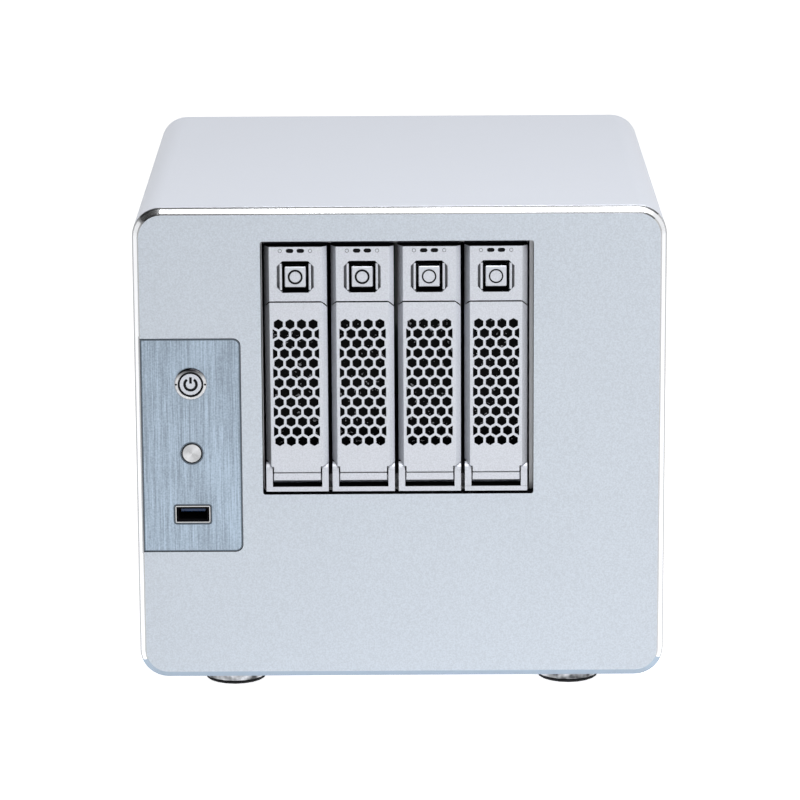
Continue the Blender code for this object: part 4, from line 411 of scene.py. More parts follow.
def moulded(name, base, roughness=0.48):
    """Moulded plastic with a fine spark-eroded texture."""
    finish = Finish(name, roughness)
    fine = finish.noise(1900.0, 2.0)
    finish.tint(base, fine, 0.85, 1.25)
    finish.set("Roughness", fine * 0.18 + (roughness - 0.09))
    finish.relief(fine, 0.12, 0.0001)
    return finish.material


def matt_rubber(name, base):
    """Soft rubber with a dusty bloom."""
    finish = Finish(name, 0.85)
    bloom = finish.noise(420.0, 4.0)
    finish.tint(base, bloom, 0.8, 1.9)
    finish.relief(bloom, 0.2, 0.0002)
    return finish.material


def solder_mask(name, base):
    """Green lacquer over copper tracks that run along the board."""
    finish = Finish(name, 0.35)
    tracks = finish.noise(420.0, 0.0, (1.0, 0.06, 0.06))
    copper = finish.contrast(tracks, 0.47, 0.53)
    finish.tint(base, copper, 0.75, 1.7)
    finish.set("Coat Weight", 0.4)
    finish.relief(copper, 0.15, 0.00005)
    return finish.material


def painted_unlit_shade(name, base):
    """Painted shade for a deep wall or floor that no light reaches."""
    finish = Finish(name, 0.95)
    finish.set("Specular IOR Level", 0.03)
    dust = finish.noise(600.0, 2.0)
    finish.tint(base, dust, 0.7, 1.4)
    return finish.material


def switch_ring_with_painted_shade(name, base, node):
    """Turned ring of a switch, with painted shade over its upper edge."""
    finish = Finish(name, 0.24, 1.0)
    level = middle_of(node).z
    height = finish.node("ShaderNodeSeparateXYZ", inputs={"Vector": finish.places()}, output=2)
    upper = finish.contrast(height, level + SHADE_CRESCENT_START, level + SHADE_CRESCENT_END)
    marks = finish.noise(900.0, 3.0)
    turned = finish.between(marks, shade(base, 0.72), shade(base, 1.25))
    # painted shade: the ring's upper edge is coloured dark
    finish.set("Base Color", finish.node("ShaderNodeMix", {"data_type": "RGBA"},
                                         {0: upper, 6: turned, 7: SHADE_CRESCENT_COLOUR}, output=2))
    finish.set("Roughness", marks * 0.2 + 0.14)
    return finish.material


def turned_face_with_painted_reflection(name, base, node):
    """Turned end face with painted reflection: light and dark sectors about its middle."""
    finish = Finish(name, 0.34, 1.0)
    spot = finish.node("ShaderNodeMapping", inputs={"Vector": finish.places(),
                                                    "Location": tuple(-middle_of(node))})
    across = finish.node("ShaderNodeSeparateXYZ", inputs={"Vector": spot}, output=0)
    up = finish.node("ShaderNodeSeparateXYZ", inputs={"Vector": spot}, output=2)
    angle = finish.node("ShaderNodeMath", {"operation": "ARCTAN2"}, {0: up, 1: across})
    painted_reflection_sectors = finish.node("ShaderNodeMath", {"operation": "SINE"}, {0: angle * 2.0})
    # painted reflection from the sectors, with turning marks from the noise
    mask = painted_reflection_sectors * 0.30 + finish.noise(900.0, 3.0) * 0.5
    finish.tint(base, mask, 0.75, 1.35)
    finish.set("Roughness", mask * 0.15 + 0.28)
    return finish.material


def glossy(name, base, roughness):
    """Clear dark lens or lacquered ink."""
    finish = Finish(name, roughness)
    finish.set("Specular IOR Level", 0.08)
    haze = finish.noise(700.0, 2.0)
    finish.tint(base, haze, 0.9, 1.15)
    finish.set("Roughness", haze * 0.1 + roughness)
    return finish.material


# Each finish: its maker, its name, its colour setting, a share of that colour, and what else it takes.
FINISHES = {
    "face": (grained, "sandblasted_aluminium", "face", 1.0, 0.46, 0.45, 1500.0, 0.16),
    "shell": (grained, "anodised_aluminium", "shell", 1.0, 0.36, 0.45, 2200.0, 0.07, 0.04),
    "chamfer": (polished, "milled_chamfer", "bright", 1.0, 0.20),
    "chamfer_root": (polished, "chamfer_root", "bright", 0.13, 0.35),
    "chamfer_side": (polished, "chamfer_side", "bright", 0.52, 0.35),
    "low_chamfer_painted_shade": (polished, "chamfer_underside", "plate", 0.95, 0.30),
    "gap": (painted_unlit_shade, "shaded_gap", "gap", 1.0),
    "plate_edge": (polished, "plate_edge", "plate", 0.30, 0.4),
    "plate": (brushed, "brushed_aluminium", "plate", 1.0, 0.38, "Z"),
    "bright": (polished, "bright_metal", "bright", 1.0),
    "port": (polished, "port_shell", "bright", 0.55, 0.22),
    "ring": (switch_ring_with_painted_shade, "turned_ring", "bright", 0.62, "power_bezel"),
    "cap": (turned_face_with_painted_reflection, "turned_cap", "bright", 0.60, "reset_button"),
    "foot": (chrome_with_painted_reflections, "foot_metal", "bright", 0.34),
    "tray": (grained, "tray_silver", "tray", 1.0, 0.45, 0.35, 1700.0, 0.16),
    "lever": (grained, "lever_silver", "lever", 1.0, 0.45, 0.35, 1700.0, 0.16),
    "rib": (grained, "release_rib", "tray", 1.32, 0.40, 0.35, 1700.0, 0.10, 0.05),
    "slot": (grained, "release_slot", "tray", 0.50, 0.50, 0.35, 1700.0, 0.10, 0.15),
    "release": (grained, "release_button_silver", "tray", 1.0, 0.38, 0.35, 2000.0, 0.10),
    "steel": (plated, "zinc_plated_steel", "steel", 1.0),
    "casting": (grained, "drive_casting", "casting", 1.0, 0.45, 0.7, 900.0, 0.20, 0.08),
    "drive_end": (painted_shade_with_glints, "drive_end", "casting", 0.18),
    "board": (solder_mask, "circuit_board", "board", 1.0),
    "black": (moulded, "black_plastic", "black", 1.0),
    "blue": (moulded, "blue_plastic", "blue", 1.0, 0.36),
    "rubber": (matt_rubber, "black_rubber", "rubber", 1.0),
    "ink": (glossy, "dark_ink", "ink", 1.0, 0.30),
    "lens": (glossy, "status_lens", "ink", 1.0, 0.08),
    "gold": (polished, "gold_contacts", "gold", 1.0, 0.22),
}
made_finishes = {}


def finish(context, name):
    """A finish by name, made the first time that it is used."""
    if name not in made_finishes:
        maker, label, tint, share, *rest = FINISHES[name]
        base = shade(getattr(context.scene.storage_colours, tint), share)
        made_finishes[name] = maker(label, base, *rest)
    return made_finishes[name]


# ---- Modelling ----


def merged_copy(node):
    """A bmesh of a CAD node, its loose triangles joined and its flat faces whole."""
    bm = bmesh.new()
    bm.from_mesh(NODES[node].data)
    bmesh.ops.remove_doubles(bm, verts=bm.verts, dist=MERGE)
    bmesh.ops.dissolve_limit(bm, angle_limit=FLAT_ANGLE, verts=bm.verts, edges=bm.edges, delimit=set())
    return bm


def soften(bm, width, segments=2):
    """Round the sharp edges."""
    edges = [edge for edge in bm.edges if edge.is_manifold and edge.calc_face_angle() > SHARP_FROM]
    bmesh.ops.bevel(bm, geom=edges, offset=width, offset_type="OFFSET", segments=segments, profile=0.5,
                    affect="EDGES", material=-1, clamp_overlap=True)
    return bm


def new_mesh(bm, name):
    """Turn a bmesh into a mesh."""
    mesh = bpy.data.meshes.new(name)
    bm.to_mesh(mesh)
    bm.free()
    return mesh


def place_piece(context, bm, name, node, finishes, stands_for=()):
    """Turn a bmesh into a piece of the object that rides with a CAD node."""
    body = BODY_OF[node]
    mesh = new_mesh(bm, name)
    for layer in [layer for layer in mesh.attributes if layer.name == "custom_normal"]:
        mesh.attributes.remove(layer)
    for finish_name in finishes:
        mesh.materials.append(finish(context, finish_name))
    mesh.shade_smooth()
    mesh.set_sharp_from_angle(angle=SMOOTH_TO)
    piece = bpy.data.objects.new(name, mesh)
    context.scene.collection.objects.link(piece)
    even = piece.modifiers.new("even_shading", "WEIGHTED_NORMAL")
    even.keep_sharp = True
    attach(piece, body)
    if stands_for:
        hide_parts(*stands_for)
    return piece


def place_mark(context, bm, name, node):
    """A dark mark on a CAD node: print, inlay, and painted shade in grooves and notches."""
    place_piece(context, bm, name, node, ("ink",))


def dress(context, node, name, finish_name, width, segments=2):
    """A finer piece with rounded edges in place of a CAD node."""
    bm = soften(merged_copy(node), width, segments)
    return place_piece(context, bm, name, node, (finish_name,), (node,))


def inset(bm, faces, thickness):
    """Inset a region of faces, and give the faces of its rim."""
    return bmesh.ops.inset_region(bm, faces=faces, thickness=thickness, use_boundary=True,
                                  use_even_offset=True)["faces"]


def front_faces(bm):
    """The flat faces that look to the front from the foremost plane."""
    foremost = min(vert.co.y for vert in bm.verts)
    return [face for face in bm.faces
            if face.normal.y < CHAMFER_FLAT and face.calc_center_median().y < foremost + MERGE]


def dress_front(context, node, name, finish_name, width, reach):
    """A finer piece of the front, its gaps' walls and deep floors in painted shade down to a reach."""
    bm = soften(merged_copy(node), width)
    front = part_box(node)[0].y
    bmesh.ops.bisect_plane(bm, geom=bm.verts[:] + bm.edges[:] + bm.faces[:], dist=MERGE,
                           plane_co=(0, front + reach, 0), plane_no=(0, 1, 0))
    for face in bm.faces:
        depth = face.calc_center_median().y - front
        wall = BEVEL_LEAN < face.normal.y < WALL_LEAN and depth > GAP_START
        face.material_index = int(depth < reach and (wall or depth > GAP_FLOOR))
    return place_piece(context, bm, name, node, (finish_name, "gap"), (node,))


def keep_node(context, node, finish_name):
    """Give a CAD node that stays its finish."""
    shown = NODES[node]
    for number in range(len(shown.material_slots)):
        shown.material_slots[number].material = finish(context, finish_name)


def of_kind(made, kind):
    """The items of one kind among those that an operator made."""
    return [item for item in made["geom"] if isinstance(item, kind)]


def edges_at(verts):
    """The edges that meet at any of the vertices."""
    return list({edge for vert in verts for edge in vert.link_edges})


def extrude(bm, faces, depth):
    """Give flat faces of the front plane a depth, as a closed solid."""
    made = bmesh.ops.extrude_face_region(bm, geom=faces, use_keep_orig=True)
    bmesh.ops.translate(bm, verts=of_kind(made, BMVert), vec=(0, depth, 0))
    bmesh.ops.recalc_face_normals(bm, faces=bm.faces)


def arc(radius, start, end, segments):
    """Points of an arc about the origin."""
    return [(radius * cos(start + (end - start) * step / segments),
             radius * sin(start + (end - start) * step / segments)) for step in range(segments + 1)]


def slab(outline, centre, depth):
    """A flat outline in the front plane about a centre, made solid towards the rear."""
    bm = bmesh.new()
    corners = [bm.verts.new((centre[0] + across, centre[1], centre[2] + up)) for across, up in outline]
    extrude(bm, [bm.faces.new(corners)], depth)
    return bm


def pill(wide, tall, segments=10):
    """Outline with round ends."""
    radius = tall / 2
    reach = wide / 2 - radius
    right = [(across + reach, up) for across, up in arc(radius, -pi / 2, pi / 2, segments)]
    left = [(across - reach, up) for across, up in arc(radius, pi / 2, 3 * pi / 2, segments)]
    return right + left


def flat_ring(centre, radius, width, depth, segments=40):
    """A flat ring in the front plane, made solid towards the rear."""
    bm = bmesh.new()
    turn = Matrix.Translation(centre) @ Matrix.Rotation(pi / 2, 4, "X")
    edges = []
    for size in (radius - width / 2, radius + width / 2):
        loop = bmesh.ops.create_circle(bm, cap_ends=False, segments=segments, radius=size, matrix=turn)
        edges += edges_at(loop["verts"])
    made = bmesh.ops.bridge_loops(bm, edges=edges)
    extrude(bm, made["faces"], depth)
    return bm


def wire_ring(centre, radius, wire, segments=48):
    """A closed ring of round wire in the front plane."""
    bm = bmesh.new()
    start = Matrix.Translation(Vector(centre) + Vector((radius, 0, 0)))
    section = bmesh.ops.create_circle(bm, cap_ends=False, segments=8, radius=wire, matrix=start)
    geom = section["verts"] + edges_at(section["verts"])
    bmesh.ops.spin(bm, geom=geom, cent=centre, axis=(0, 1, 0), angle=2 * pi, steps=segments,
                   use_merge=True, use_duplicate=False)
    bmesh.ops.remove_doubles(bm, verts=bm.verts, dist=MERGE)
    bmesh.ops.recalc_face_normals(bm, faces=bm.faces)
    return bm


def screw_head(centre, radius, height):
    """Round head with a hexagon socket, its face towards +Y and its seat at the centre."""
    bm = bmesh.new()
    turn = Matrix.Translation(centre) @ Matrix.Rotation(-pi / 2, 4, "X")
    lift = Matrix.Translation((0, 0, height))
    flat = radius * SCREW_FLAT
    rim = bmesh.ops.create_circle(bm, cap_ends=False, segments=24, radius=flat, matrix=turn @ lift)
    socket = bmesh.ops.create_circle(bm, cap_ends=False, segments=6, radius=radius * SCREW_SOCKET,
                                     matrix=turn @ lift)
    rim_edges, socket_edges = edges_at(rim["verts"]), edges_at(socket["verts"])
    bmesh.ops.bridge_loops(bm, edges=rim_edges + socket_edges)
    shoulder = bmesh.ops.extrude_edge_only(bm, edges=rim_edges)
    outer = of_kind(shoulder, BMVert)
    grow = radius / flat
    drop = height * SCREW_SHOULDER
    bmesh.ops.scale(bm, vec=(grow, 1, grow), verts=outer, space=Matrix.Translation(-Vector(centre)))
    bmesh.ops.translate(bm, vec=(0, -drop, 0), verts=outer)
    foot = bmesh.ops.extrude_edge_only(bm, edges=of_kind(shoulder, BMEdge))
    bmesh.ops.translate(bm, vec=(0, drop - height, 0), verts=of_kind(foot, BMVert))
    well = bmesh.ops.extrude_edge_only(bm, edges=socket_edges)
    bmesh.ops.translate(bm, vec=(0, -height * SCREW_SOCKET_DEPTH, 0), verts=of_kind(well, BMVert))
    bmesh.ops.holes_fill(bm, edges=[edge for edge in bm.edges if edge.is_boundary], sides=0)
    bmesh.ops.recalc_face_normals(bm, faces=bm.faces)
    return bm


def middle_of(node):
    """The middle of a CAD node's box."""
    low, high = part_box(node)
    return (low + high) / 2


def half_width(node):
    """Half of a CAD node's width."""
    low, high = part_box(node)
    return (high.x - low.x) / 2


def cap_line(context, node, name, width):
    """A thin dark line round a button's cap."""
    middle = middle_of(node)
    height = context.scene.storage_sizes.print_height
    centre = (middle.x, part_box(node)[0].y - height, middle.z)
    place_mark(context, flat_ring(centre, half_width(node) - width / 2, width, height), name, node)


# ---- Operators, one for each piece or group of like pieces ----


class STORAGE_OT_sleeve(bpy.types.Operator):
    """Extruded sleeve with its satin anodised finish"""

    bl_idname = "storage.sleeve"
    bl_label = "Sleeve"

    def execute(self, context):
        sizes = context.scene.storage_sizes
        dress(context, "outer_shell", "sleeve", "shell", sizes.panel_edge, 1)
        return {"FINISHED"}


def rim_distance(point):
    """How far a point of the front panel lies inside the panel's rounded outline."""
    middle, half = (PANEL_LOW + PANEL_HIGH) / 2, (PANEL_HIGH - PANEL_LOW) / 2
    across = abs(point.x - middle.x) - (half.x - CORNER_RADIUS)
    up = abs(point.z - middle.z) - (half.z - CORNER_RADIUS)
    outside = Vector((max(across, 0.0), max(up, 0.0))).length
    return CORNER_RADIUS - outside - min(max(across, up), 0.0)


class STORAGE_OT_front_panel(bpy.types.Operator):
    """Sandblasted front panel with a polished chamfer round its face"""

    bl_idname = "storage.front_panel"
    bl_label = "Front Panel"

    def execute(self, context):
        bm = merged_copy("front_panel")
        slopes = [face for face in bm.faces if self.slopes(face)]
        inset(bm, slopes, CHAMFER_ROOT)
        soften(bm, context.scene.storage_sizes.panel_edge)
        for face in bm.faces:
            face.material_index = self.finish_of(face)
        place_piece(context, bm, "front_face", "front_panel",
                    ("face", "chamfer", "chamfer_root", "gap", "low_chamfer_painted_shade", "chamfer_side"),
                    ("front_panel",))
        return {"FINISHED"}

    def slopes(self, face):
        """Whether a face belongs to the chamfer."""
        return (rim_distance(face.calc_center_median()) < CHAMFER_REACH
                and CHAMFER_FLAT < face.normal.y < CHAMFER_STEEP)

    def finish_of(self, face):
        """Place in the panel's list of finishes, painted shade among them."""
        middle = face.calc_center_median()
        if self.slopes(face):
            inside = rim_distance(middle)
            # the chamfer's edge strips take painted shade, lighter on the upright sides
            painted_shade_strip = inside < CHAMFER_ROOT or inside > CHAMFER_REACH - CHAMFER_ROOT
            # painted shade on the downward-facing part of the chamfer
            if face.normal.z < CHAMFER_UNDER:
                return 4
            upright = abs(face.normal.x) > abs(face.normal.z)
            return 1 if not painted_shade_strip else 5 if upright else 2
        # the walls in the panel's gaps take painted shade
        in_gap = abs(face.normal.y) < WALL_LEAN and rim_distance(middle) > CHAMFER_REACH
        return 3 if in_gap else 0


class STORAGE_OT_control_plate(bpy.types.Operator):
    """Brushed plate round the controls, with a rim of painted shade"""

    bl_idname = "storage.control_plate"
    bl_label = "Control Plate"

    def execute(self, context):
        bm = merged_copy("control_plate")
        # the inset rim takes painted shade
        for face in inset(bm, front_faces(bm), PLATE_RIM):
            face.material_index = 1
        soften(bm, context.scene.storage_sizes.panel_edge)
        place_piece(context, bm, "brushed_plate", "control_plate", ("plate", "plate_edge"),
                    ("control_plate",))
        return {"FINISHED"}


class STORAGE_OT_power_switch(bpy.types.Operator):
    """Metal push switch: bezel with two spanner notches drawn as painted shade, cap with the standard
    power symbol
    """

    bl_idname = "storage.power_switch"
    bl_label = "Power Switch"

    def execute(self, context):
        sizes = context.scene.storage_sizes
        bezel = dress(context, "power_bezel", "switch_bezel", "ring", sizes.bezel_edge, 4)
        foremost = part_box("power_bezel")[0].y
        for vert in bezel.data.vertices:  # leaves the notches room inside the CAD box
            vert.co.y = max(vert.co.y, foremost + sizes.print_height)
        dress(context, "power_button", "switch_cap", "release", sizes.panel_edge)
        middle = middle_of("power_button")
        height, outer, line = sizes.print_height, sizes.symbol_radius, sizes.symbol_line
        centre = (middle.x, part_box("power_button")[0].y - height, middle.z)
        bow = (arc(outer, SYMBOL_START, SYMBOL_END, 36)
               + arc(outer - line, SYMBOL_END, SYMBOL_START, 36))
        place_mark(context, slab(bow, centre, height), "power_symbol_bow", "power_button")
        half, foot, top = line * BAR_HALF, outer * BAR_FOOT, outer * BAR_TOP
        bar = [(-half, foot), (half, foot), (half, top), (-half, top)]
        place_mark(context, slab(bar, centre, height), "power_symbol_bar", "power_button")
        cap_line(context, "power_button", "switch_cap_line", sizes.rim_line)

        reach = half_width("power_button") * NOTCH_PLACE
        # the notches are dark pills of painted shade
        for side, name in ((-1, "left"), (1, "right")):
            notch = slab(pill(*NOTCH_SIZE), (middle.x + side * reach, foremost, middle.z), height)
            place_mark(context, notch, f"switch_notch_{name}", "power_bezel")
        return {"FINISHED"}


class STORAGE_OT_reset_button(bpy.types.Operator):
    """Small flush button"""

    bl_idname = "storage.reset_button"
    bl_label = "Reset Button"

    def execute(self, context):
        sizes = context.scene.storage_sizes
        dress(context, "reset_button", "reset_cap", "cap", sizes.panel_edge)
        cap_line(context, "reset_button", "reset_cap_line", sizes.reset_line)
        return {"FINISHED"}


class STORAGE_OT_front_port(bpy.types.Operator):
    """Front port with its shell, tongue and contacts"""

    bl_idname = "storage.front_port"
    bl_label = "Front Port"

    def execute(self, context):
        height = context.scene.storage_sizes.print_height
        self.shell(context)
        keep_node(context, "usb_tongue", "blue")
        low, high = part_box("usb_tongue")
        spacing = (high.x - low.x) / 5
        outline = [(-CONTACT_HALF, 0), (CONTACT_HALF, 0), (CONTACT_HALF, height), (-CONTACT_HALF, height)]
        for number in range(1, 5):
            centre = (low.x + number * spacing, low.y + CONTACT_SETBACK, low.z - 2 * height)
            place_piece(context, slab(outline, centre, CONTACT_LENGTH), f"front_port_contact_{number}",
                        "usb_tongue", ("gold",))
        return {"FINISHED"}

    def shell(self, context):
        """The port's shell, with a thin bright rim and painted shade inside it."""
        low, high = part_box("usb_shell")
        bm = merged_copy("usb_shell")
        inset(bm, front_faces(bm), PORT_RIM)
        for face in bm.faces:
            middle = face.calc_center_median()
            reach = min(middle.x - low.x, high.x - middle.x, middle.z - low.z, high.z - middle.z)
            face.material_index = int(reach > PORT_RIM)
        place_piece(context, bm, "front_port_shell", "usb_shell", ("port", "gap"),
                    ("usb_shell",))


class STORAGE_OT_trays(bpy.types.Operator):
    """Drive trays: frames, perforated levers, release buttons with painted shade in their grooves, status
    lenses
    """

    bl_idname = "storage.trays"
    bl_label = "Drive Trays"

    # painted shade in the release grooves, wider on the first two trays
    ring_widths = {"1": 0.00085, "2": 0.00085, "3": 0.00055, "4": 0.00055}

    def execute(self, context):
        sizes = context.scene.storage_sizes
        for tray in TRAYS:
            frame = dress_front(context, f"tray_frame_{tray}", f"tray_{tray}_frame", "tray",
                                sizes.tray_edge, FRAME_REACH)
            self.release_surround(context, tray, frame)
            dress_front(context, f"tray_lever_{tray}", f"tray_{tray}_lever", "lever",
                        sizes.grille_edge, LEVER_REACH)
            dress_front(context, f"release_button_{tray}", f"tray_{tray}_release", "release",
                        sizes.tray_edge, LEVER_REACH)
            self.drive(context, tray)
            self.release_ring(context, tray)
            self.status_row(context, tray)
        return {"FINISHED"}

    def drive(self, context, tray):
        """A drive, its end in painted shade with painted glints that show through the lever."""
        node = f"hard_drive_{tray}"
        piece = dress(context, node, f"tray_{tray}_drive", "casting",
                      context.scene.storage_sizes.tray_edge)
        piece.data.materials.append(finish(context, "drive_end"))
        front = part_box(node)[0].y
        for face in piece.data.polygons:
            if face.center.y < front + MERGE:
                face.material_index = 1

    def release_surround(self, context, tray, frame):
        """Painted highlight on the ribs beside the release button, and painted shade in the shallow slots
        outside them.
        """
        middle = middle_of(f"release_button_{tray}")
        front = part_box(f"tray_frame_{tray}")[0].y
        for name in ("rib", "slot"):
            frame.data.materials.append(finish(context, name))
        for face in frame.data.polygons:
            across, up = abs(face.center.x - middle.x), abs(face.center.z - middle.z)
            # ribs take a painted highlight (finish 2), slots take painted shade (finish 3)
            if RIB_INSIDE < across < SLOT_OUTSIDE and up < SURROUND_HALF:
                if face.center.y < front + MERGE:
                    face.material_index = 2
                elif across > SLOT_INSIDE:
                    face.material_index = 3

    def release_ring(self, context, tray):
        """Painted shade: a dark ring over the groove of the release button."""
        node = f"release_button_{tray}"
        middle = middle_of(node)
        depth = context.scene.storage_sizes.ring_height
        centre = (middle.x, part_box(node)[0].y - depth, middle.z)
        ring = flat_ring(centre, RELEASE_GROOVE_SHADE_RADIUS, self.ring_widths[tray], depth)
        place_mark(context, ring, f"tray_{tray}_release_ring", node)

    def status_row(self, context, tray):
        """Two oval lenses, with a thin printed ring at each side of them."""
        sizes = context.scene.storage_sizes
        node = f"tray_frame_{tray}"
        low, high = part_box(node)
        middle = middle_of(f"release_button_{tray}").x
        level = high.z - STATUS_DROP
        for number, side in enumerate((-1, 1), start=1):
            centre = (middle + side * LENS_ACROSS, low.y + sizes.lens_depth, level)
            place_piece(context, slab(pill(*LENS_SIZE), centre, LENS_LENGTH), f"tray_{tray}_lens_{number}",
                        node, ("lens",))
            centre = (middle + side * MARK_ACROSS, low.y - sizes.print_height, level)
            mark = flat_ring(centre, sizes.mark_radius, MARK_LINE, sizes.print_height, 24)
            place_mark(context, mark, f"tray_{tray}_mark_{number}", node)


class STORAGE_OT_feet(bpy.types.Operator):
    """Turned feet with rubber pads"""

    bl_idname = "storage.feet"
    bl_label = "Feet"

    def execute(self, context):
        edge = context.scene.storage_sizes.foot_edge
        for number in range(1, 5):
            dress(context, f"foot_{number}", f"foot_body_{number}", "foot", edge, 3)
            dress(context, f"foot_pad_{number}", f"foot_rubber_{number}", "rubber", edge, 2)
        return {"FINISHED"}


class STORAGE_OT_rear(bpy.types.Operator):
    """Rear panel with its screws, fans, ports and power supply"""

    bl_idname = "storage.rear"
    bl_label = "Rear"

    dressed = (("rear_panel", "rear_sheet", "steel", "sheet_steel"),
               ("io_shield", "port_shield", "steel", "sheet_steel"),
               ("lan_port_1", "network_socket_1", "bright", "bright_metal"),
               ("lan_port_2", "network_socket_2", "bright", "bright_metal"),
               ("usb_port_stack", "stacked_sockets", "bright", "bright_metal"),
               ("video_port", "video_socket", "bright", "bright_metal"),
               ("rear_fan_frame", "fan_housing", "black", "black_plastic"),
               ("rear_fan_rotor", "fan_blades", "black", "black_plastic"),
               ("power_supply_case", "supply_case", "steel", "sheet_steel"),
               ("power_supply_inlet", "mains_inlet", "black", "black_plastic"),
               ("power_supply_switch", "mains_switch", "black", "black_plastic"),
               ("power_supply_fan_rotor", "supply_blades", "black", "black_plastic"))

    def execute(self, context):
        sizes = context.scene.storage_sizes
        for node, name, finish_name, slot in self.dressed:
            dress(context, node, name, finish_name, sizes.grille_edge, 1)
        self.corner_screws(context, "panel", "rear_panel", PANEL_SCREW_INSET)
        self.corner_screws(context, "fan", "rear_fan_frame", FAN_SCREW_INSET)
        self.fan_guard(context)
        return {"FINISHED"}

    def corner_screws(self, context, kind, node, inset):
        """Screws seated on the rear panel, at the corners of what they hold."""
        low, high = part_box(node)
        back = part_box("rear_panel")[1].y
        corners = product((low.z + inset, high.z - inset), (low.x + inset, high.x - inset))
        for number, (up, across) in enumerate(corners, start=1):
            head = screw_head((across, back, up), context.scene.storage_sizes.screw_radius, SCREW_HEIGHT)
            place_piece(context, head, f"{kind}_screw_{number}", "rear_panel", ("bright",))

    def fan_guard(self, context):
        """Rings of wire in front of the supply's fan."""
        wire = context.scene.storage_sizes.guard_wire
        centre = middle_of("power_supply_fan_rotor")
        spacing = half_width("power_supply_fan_rotor") / 4
        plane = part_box("power_supply_case")[1].y + wire
        for number in range(1, 5):
            ring = wire_ring((centre.x, plane, centre.z), spacing * number, wire)
            place_piece(context, ring, f"fan_guard_ring_{number}", "power_supply_case", ("bright",))


class STORAGE_OT_inside(bpy.types.Operator):
    """Finishes of the cage, boards and cooler"""

    bl_idname = "storage.inside"
    bl_label = "Inside"

    kept = {"cage_side_left": "steel", "cage_side_right": "steel", "cage_top_plate": "steel",
            "cage_bottom_plate": "steel", "front_io_board": "board", "motherboard": "board",
            "memory_module": "board", "backplane_board": "board", "processor_heatsink": "shell",
            **{f"backplane_socket_{tray}": "black" for tray in TRAYS}}

    def execute(self, context):
        for node, finish_name in self.kept.items():
            keep_node(context, node, finish_name)
        return {"FINISHED"}


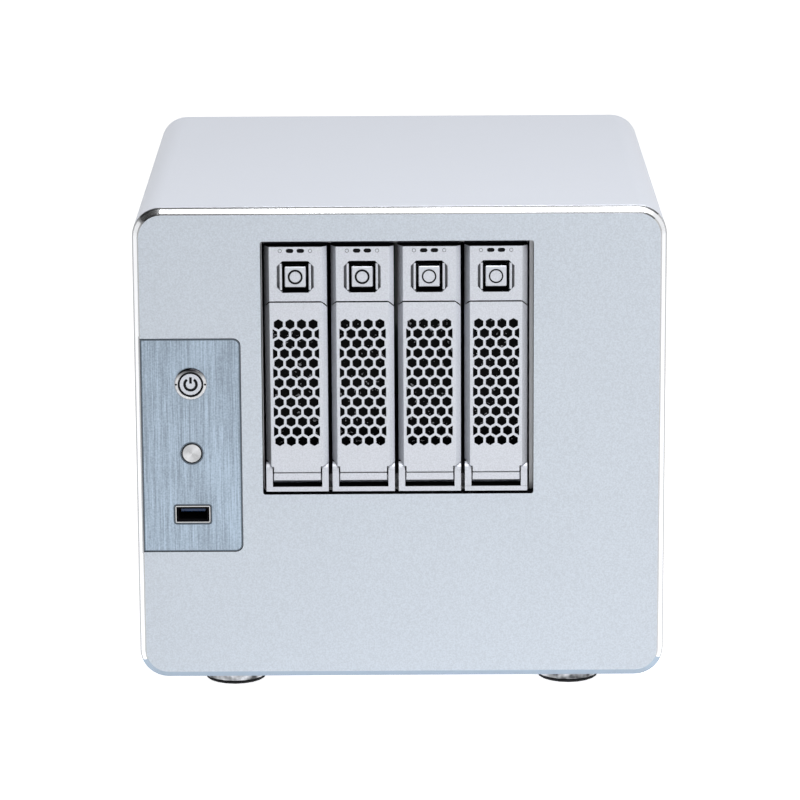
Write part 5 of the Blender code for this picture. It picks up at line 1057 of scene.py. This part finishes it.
class STORAGE_OT_stage(bpy.types.Operator):
    """Pale floor, soft lamps, white background and the camera"""

    bl_idname = "storage.stage"
    bl_label = "Stage"

    # name, place, target and size, and a card's tone
    lamps = (("top", (0.1, 0.05, 1.3), (0.0, 0.0, 0.1), 1.6),
             ("front", (0.15, -0.42, 0.95), (0.0, -0.12, 0.05), 0.5),
             ("side", (1.1, -0.9, 0.45), (0.0, 0.0, 0.1), 0.8))
    cards = (("left_card", (-0.50, -0.27, 0.81), (-0.11, -0.12, 0.21), 0.78, 0.05),
             ("upper_card", (-0.25, -0.85, 0.85), (0.0, -0.1, 0.15), 0.6, 0.10))

    def execute(self, context):
        light = context.scene.storage_light
        context.scene.view_settings.view_transform = "Standard"
        self.floor(context)
        self.world(context, light.world)
        for name, place, target, size in self.lamps:
            self.lamp(context, f"{name}_lamp", place, target, size, getattr(light, name))
        for name, place, target, size, tone in self.cards:
            self.card(context, name, place, target, size, tone)
        self.camera(context)
        return {"FINISHED"}

    def floor(self, context):
        """A wide floor that reads as white and keeps the shadow."""
        bm = bmesh.new()
        bmesh.ops.create_grid(bm, x_segments=1, y_segments=1, size=12.0)
        mesh = new_mesh(bm, "floor")
        surface = Finish("pale_floor", 0.9)
        surface.set("Base Color", (*FLOOR_COLOUR, 1.0))
        plain = Signal(surface, surface.surface.outputs[0])
        glow = surface.node("ShaderNodeEmission", inputs={"Strength": context.scene.storage_light.floor})
        bright = surface.node("ShaderNodeAddShader", inputs={0: plain, 1: glow})
        shown = surface.node("ShaderNodeMixShader", inputs={0: surface.seen(), 1: plain, 2: bright})
        surface.feed(surface.tree.nodes["Material Output"].inputs["Surface"], shown)
        mesh.materials.append(surface.material)
        ground = bpy.data.objects.new("floor", mesh)
        context.scene.collection.objects.link(ground)

    def world(self, context, strength):
        """Even light, and plain white where the background is seen or mirrored."""
        world = bpy.data.worlds.new("studio")
        world.use_nodes = True
        context.scene.world = world
        graph = Graph(world.node_tree)
        white = (1.0, 1.0, 1.0, 1.0)
        lit = graph.node("ShaderNodeBackground", inputs={"Color": white, "Strength": strength})
        seen = graph.node("ShaderNodeBackground", inputs={"Color": white, "Strength": 1.0})
        mixed = graph.node("ShaderNodeMixShader", inputs={0: graph.seen(), 1: lit, 2: seen})
        graph.feed(world.node_tree.nodes["World Output"].inputs["Surface"], mixed)

    def card(self, context, name, place, target, size, tone):
        """A grey card that only the metal sees, as a studio uses to draw an edge."""
        bm = bmesh.new()
        turn = (Vector(target) - Vector(place)).to_track_quat("Z", "Y").to_matrix().to_4x4()
        bmesh.ops.create_grid(bm, x_segments=1, y_segments=1, size=size / 2,
                              matrix=Matrix.Translation(place) @ turn)
        mesh = new_mesh(bm, name)
        surface = Finish(name, 1.0)
        surface.set("Base Color", (tone, tone, tone, 1.0))
        mesh.materials.append(surface.material)
        board = bpy.data.objects.new(name, mesh)
        board.visible_camera = False
        board.visible_diffuse = False
        board.visible_shadow = False
        context.scene.collection.objects.link(board)

    def lamp(self, context, name, place, target, size, power):
        """A square softbox aimed at a point."""
        data = bpy.data.lights.new(name, "AREA")
        data.energy = power
        data.size = size
        lamp = bpy.data.objects.new(name, data)
        lamp.location = place
        lamp.rotation_euler = (Vector(target) - Vector(place)).to_track_quat("-Z", "Y").to_euler()
        context.scene.collection.objects.link(lamp)

    def camera(self, context):
        """The photograph's view."""
        ahead = Vector((sin(CAMERA_TURN) * cos(CAMERA_TILT), cos(CAMERA_TURN) * cos(CAMERA_TILT),
                        -sin(CAMERA_TILT)))
        level = Vector((cos(CAMERA_TURN), -sin(CAMERA_TURN), 0.0))
        upright = level.cross(ahead)
        right = cos(CAMERA_ROLL) * level + sin(CAMERA_ROLL) * upright
        up = cos(CAMERA_ROLL) * upright - sin(CAMERA_ROLL) * level
        data = bpy.data.cameras.new("photo_view")
        data.lens = CAMERA_LENS
        data.sensor_width = CAMERA_SENSOR
        camera = bpy.data.objects.new("photo_view", data)
        turn = Matrix((right, up, -ahead)).transposed().to_4x4()
        camera.matrix_world = Matrix.Translation(CAMERA_PLACE) @ turn
        context.scene.collection.objects.link(camera)
        context.scene.camera = camera


# ---- Panel and registration ----

STEPS = (STORAGE_OT_sleeve, STORAGE_OT_front_panel, STORAGE_OT_control_plate, STORAGE_OT_power_switch,
         STORAGE_OT_reset_button, STORAGE_OT_front_port, STORAGE_OT_trays, STORAGE_OT_feet,
         STORAGE_OT_rear, STORAGE_OT_inside, STORAGE_OT_stage)


class STORAGE_PT_cabinet(bpy.types.Panel):
    """Lists the steps and the settings"""

    bl_idname = "STORAGE_PT_cabinet"
    bl_label = "Storage Cabinet"
    bl_space_type = "VIEW_3D"
    bl_region_type = "UI"
    bl_category = "Storage"

    def draw(self, context):
        layout = self.layout
        for step in STEPS:
            layout.operator(step.bl_idname)
        for group in (context.scene.storage_colours, context.scene.storage_sizes,
                      context.scene.storage_light):
            for name in group.bl_rna.properties.keys():
                if name not in ("rna_type", "name"):
                    layout.prop(group, name)


CLASSES = (StorageColours, StorageSizes, StorageLight, *STEPS, STORAGE_PT_cabinet)


def register():
    """Register the classes and hang the settings on the scene."""
    for item in CLASSES:
        bpy.utils.register_class(item)
    bpy.types.Scene.storage_colours = bpy.props.PointerProperty(type=StorageColours)
    bpy.types.Scene.storage_sizes = bpy.props.PointerProperty(type=StorageSizes)
    bpy.types.Scene.storage_light = bpy.props.PointerProperty(type=StorageLight)


def unregister():
    """Take the settings and the classes away again."""
    del bpy.types.Scene.storage_light
    del bpy.types.Scene.storage_sizes
    del bpy.types.Scene.storage_colours
    for item in reversed(CLASSES):
        bpy.utils.unregister_class(item)


def main():
    """Build the whole scene."""
    register()
    for step in STEPS:
        group, name = step.bl_idname.split(".")
        getattr(getattr(bpy.ops, group), name)()


if __name__ == "__main__":
    main()
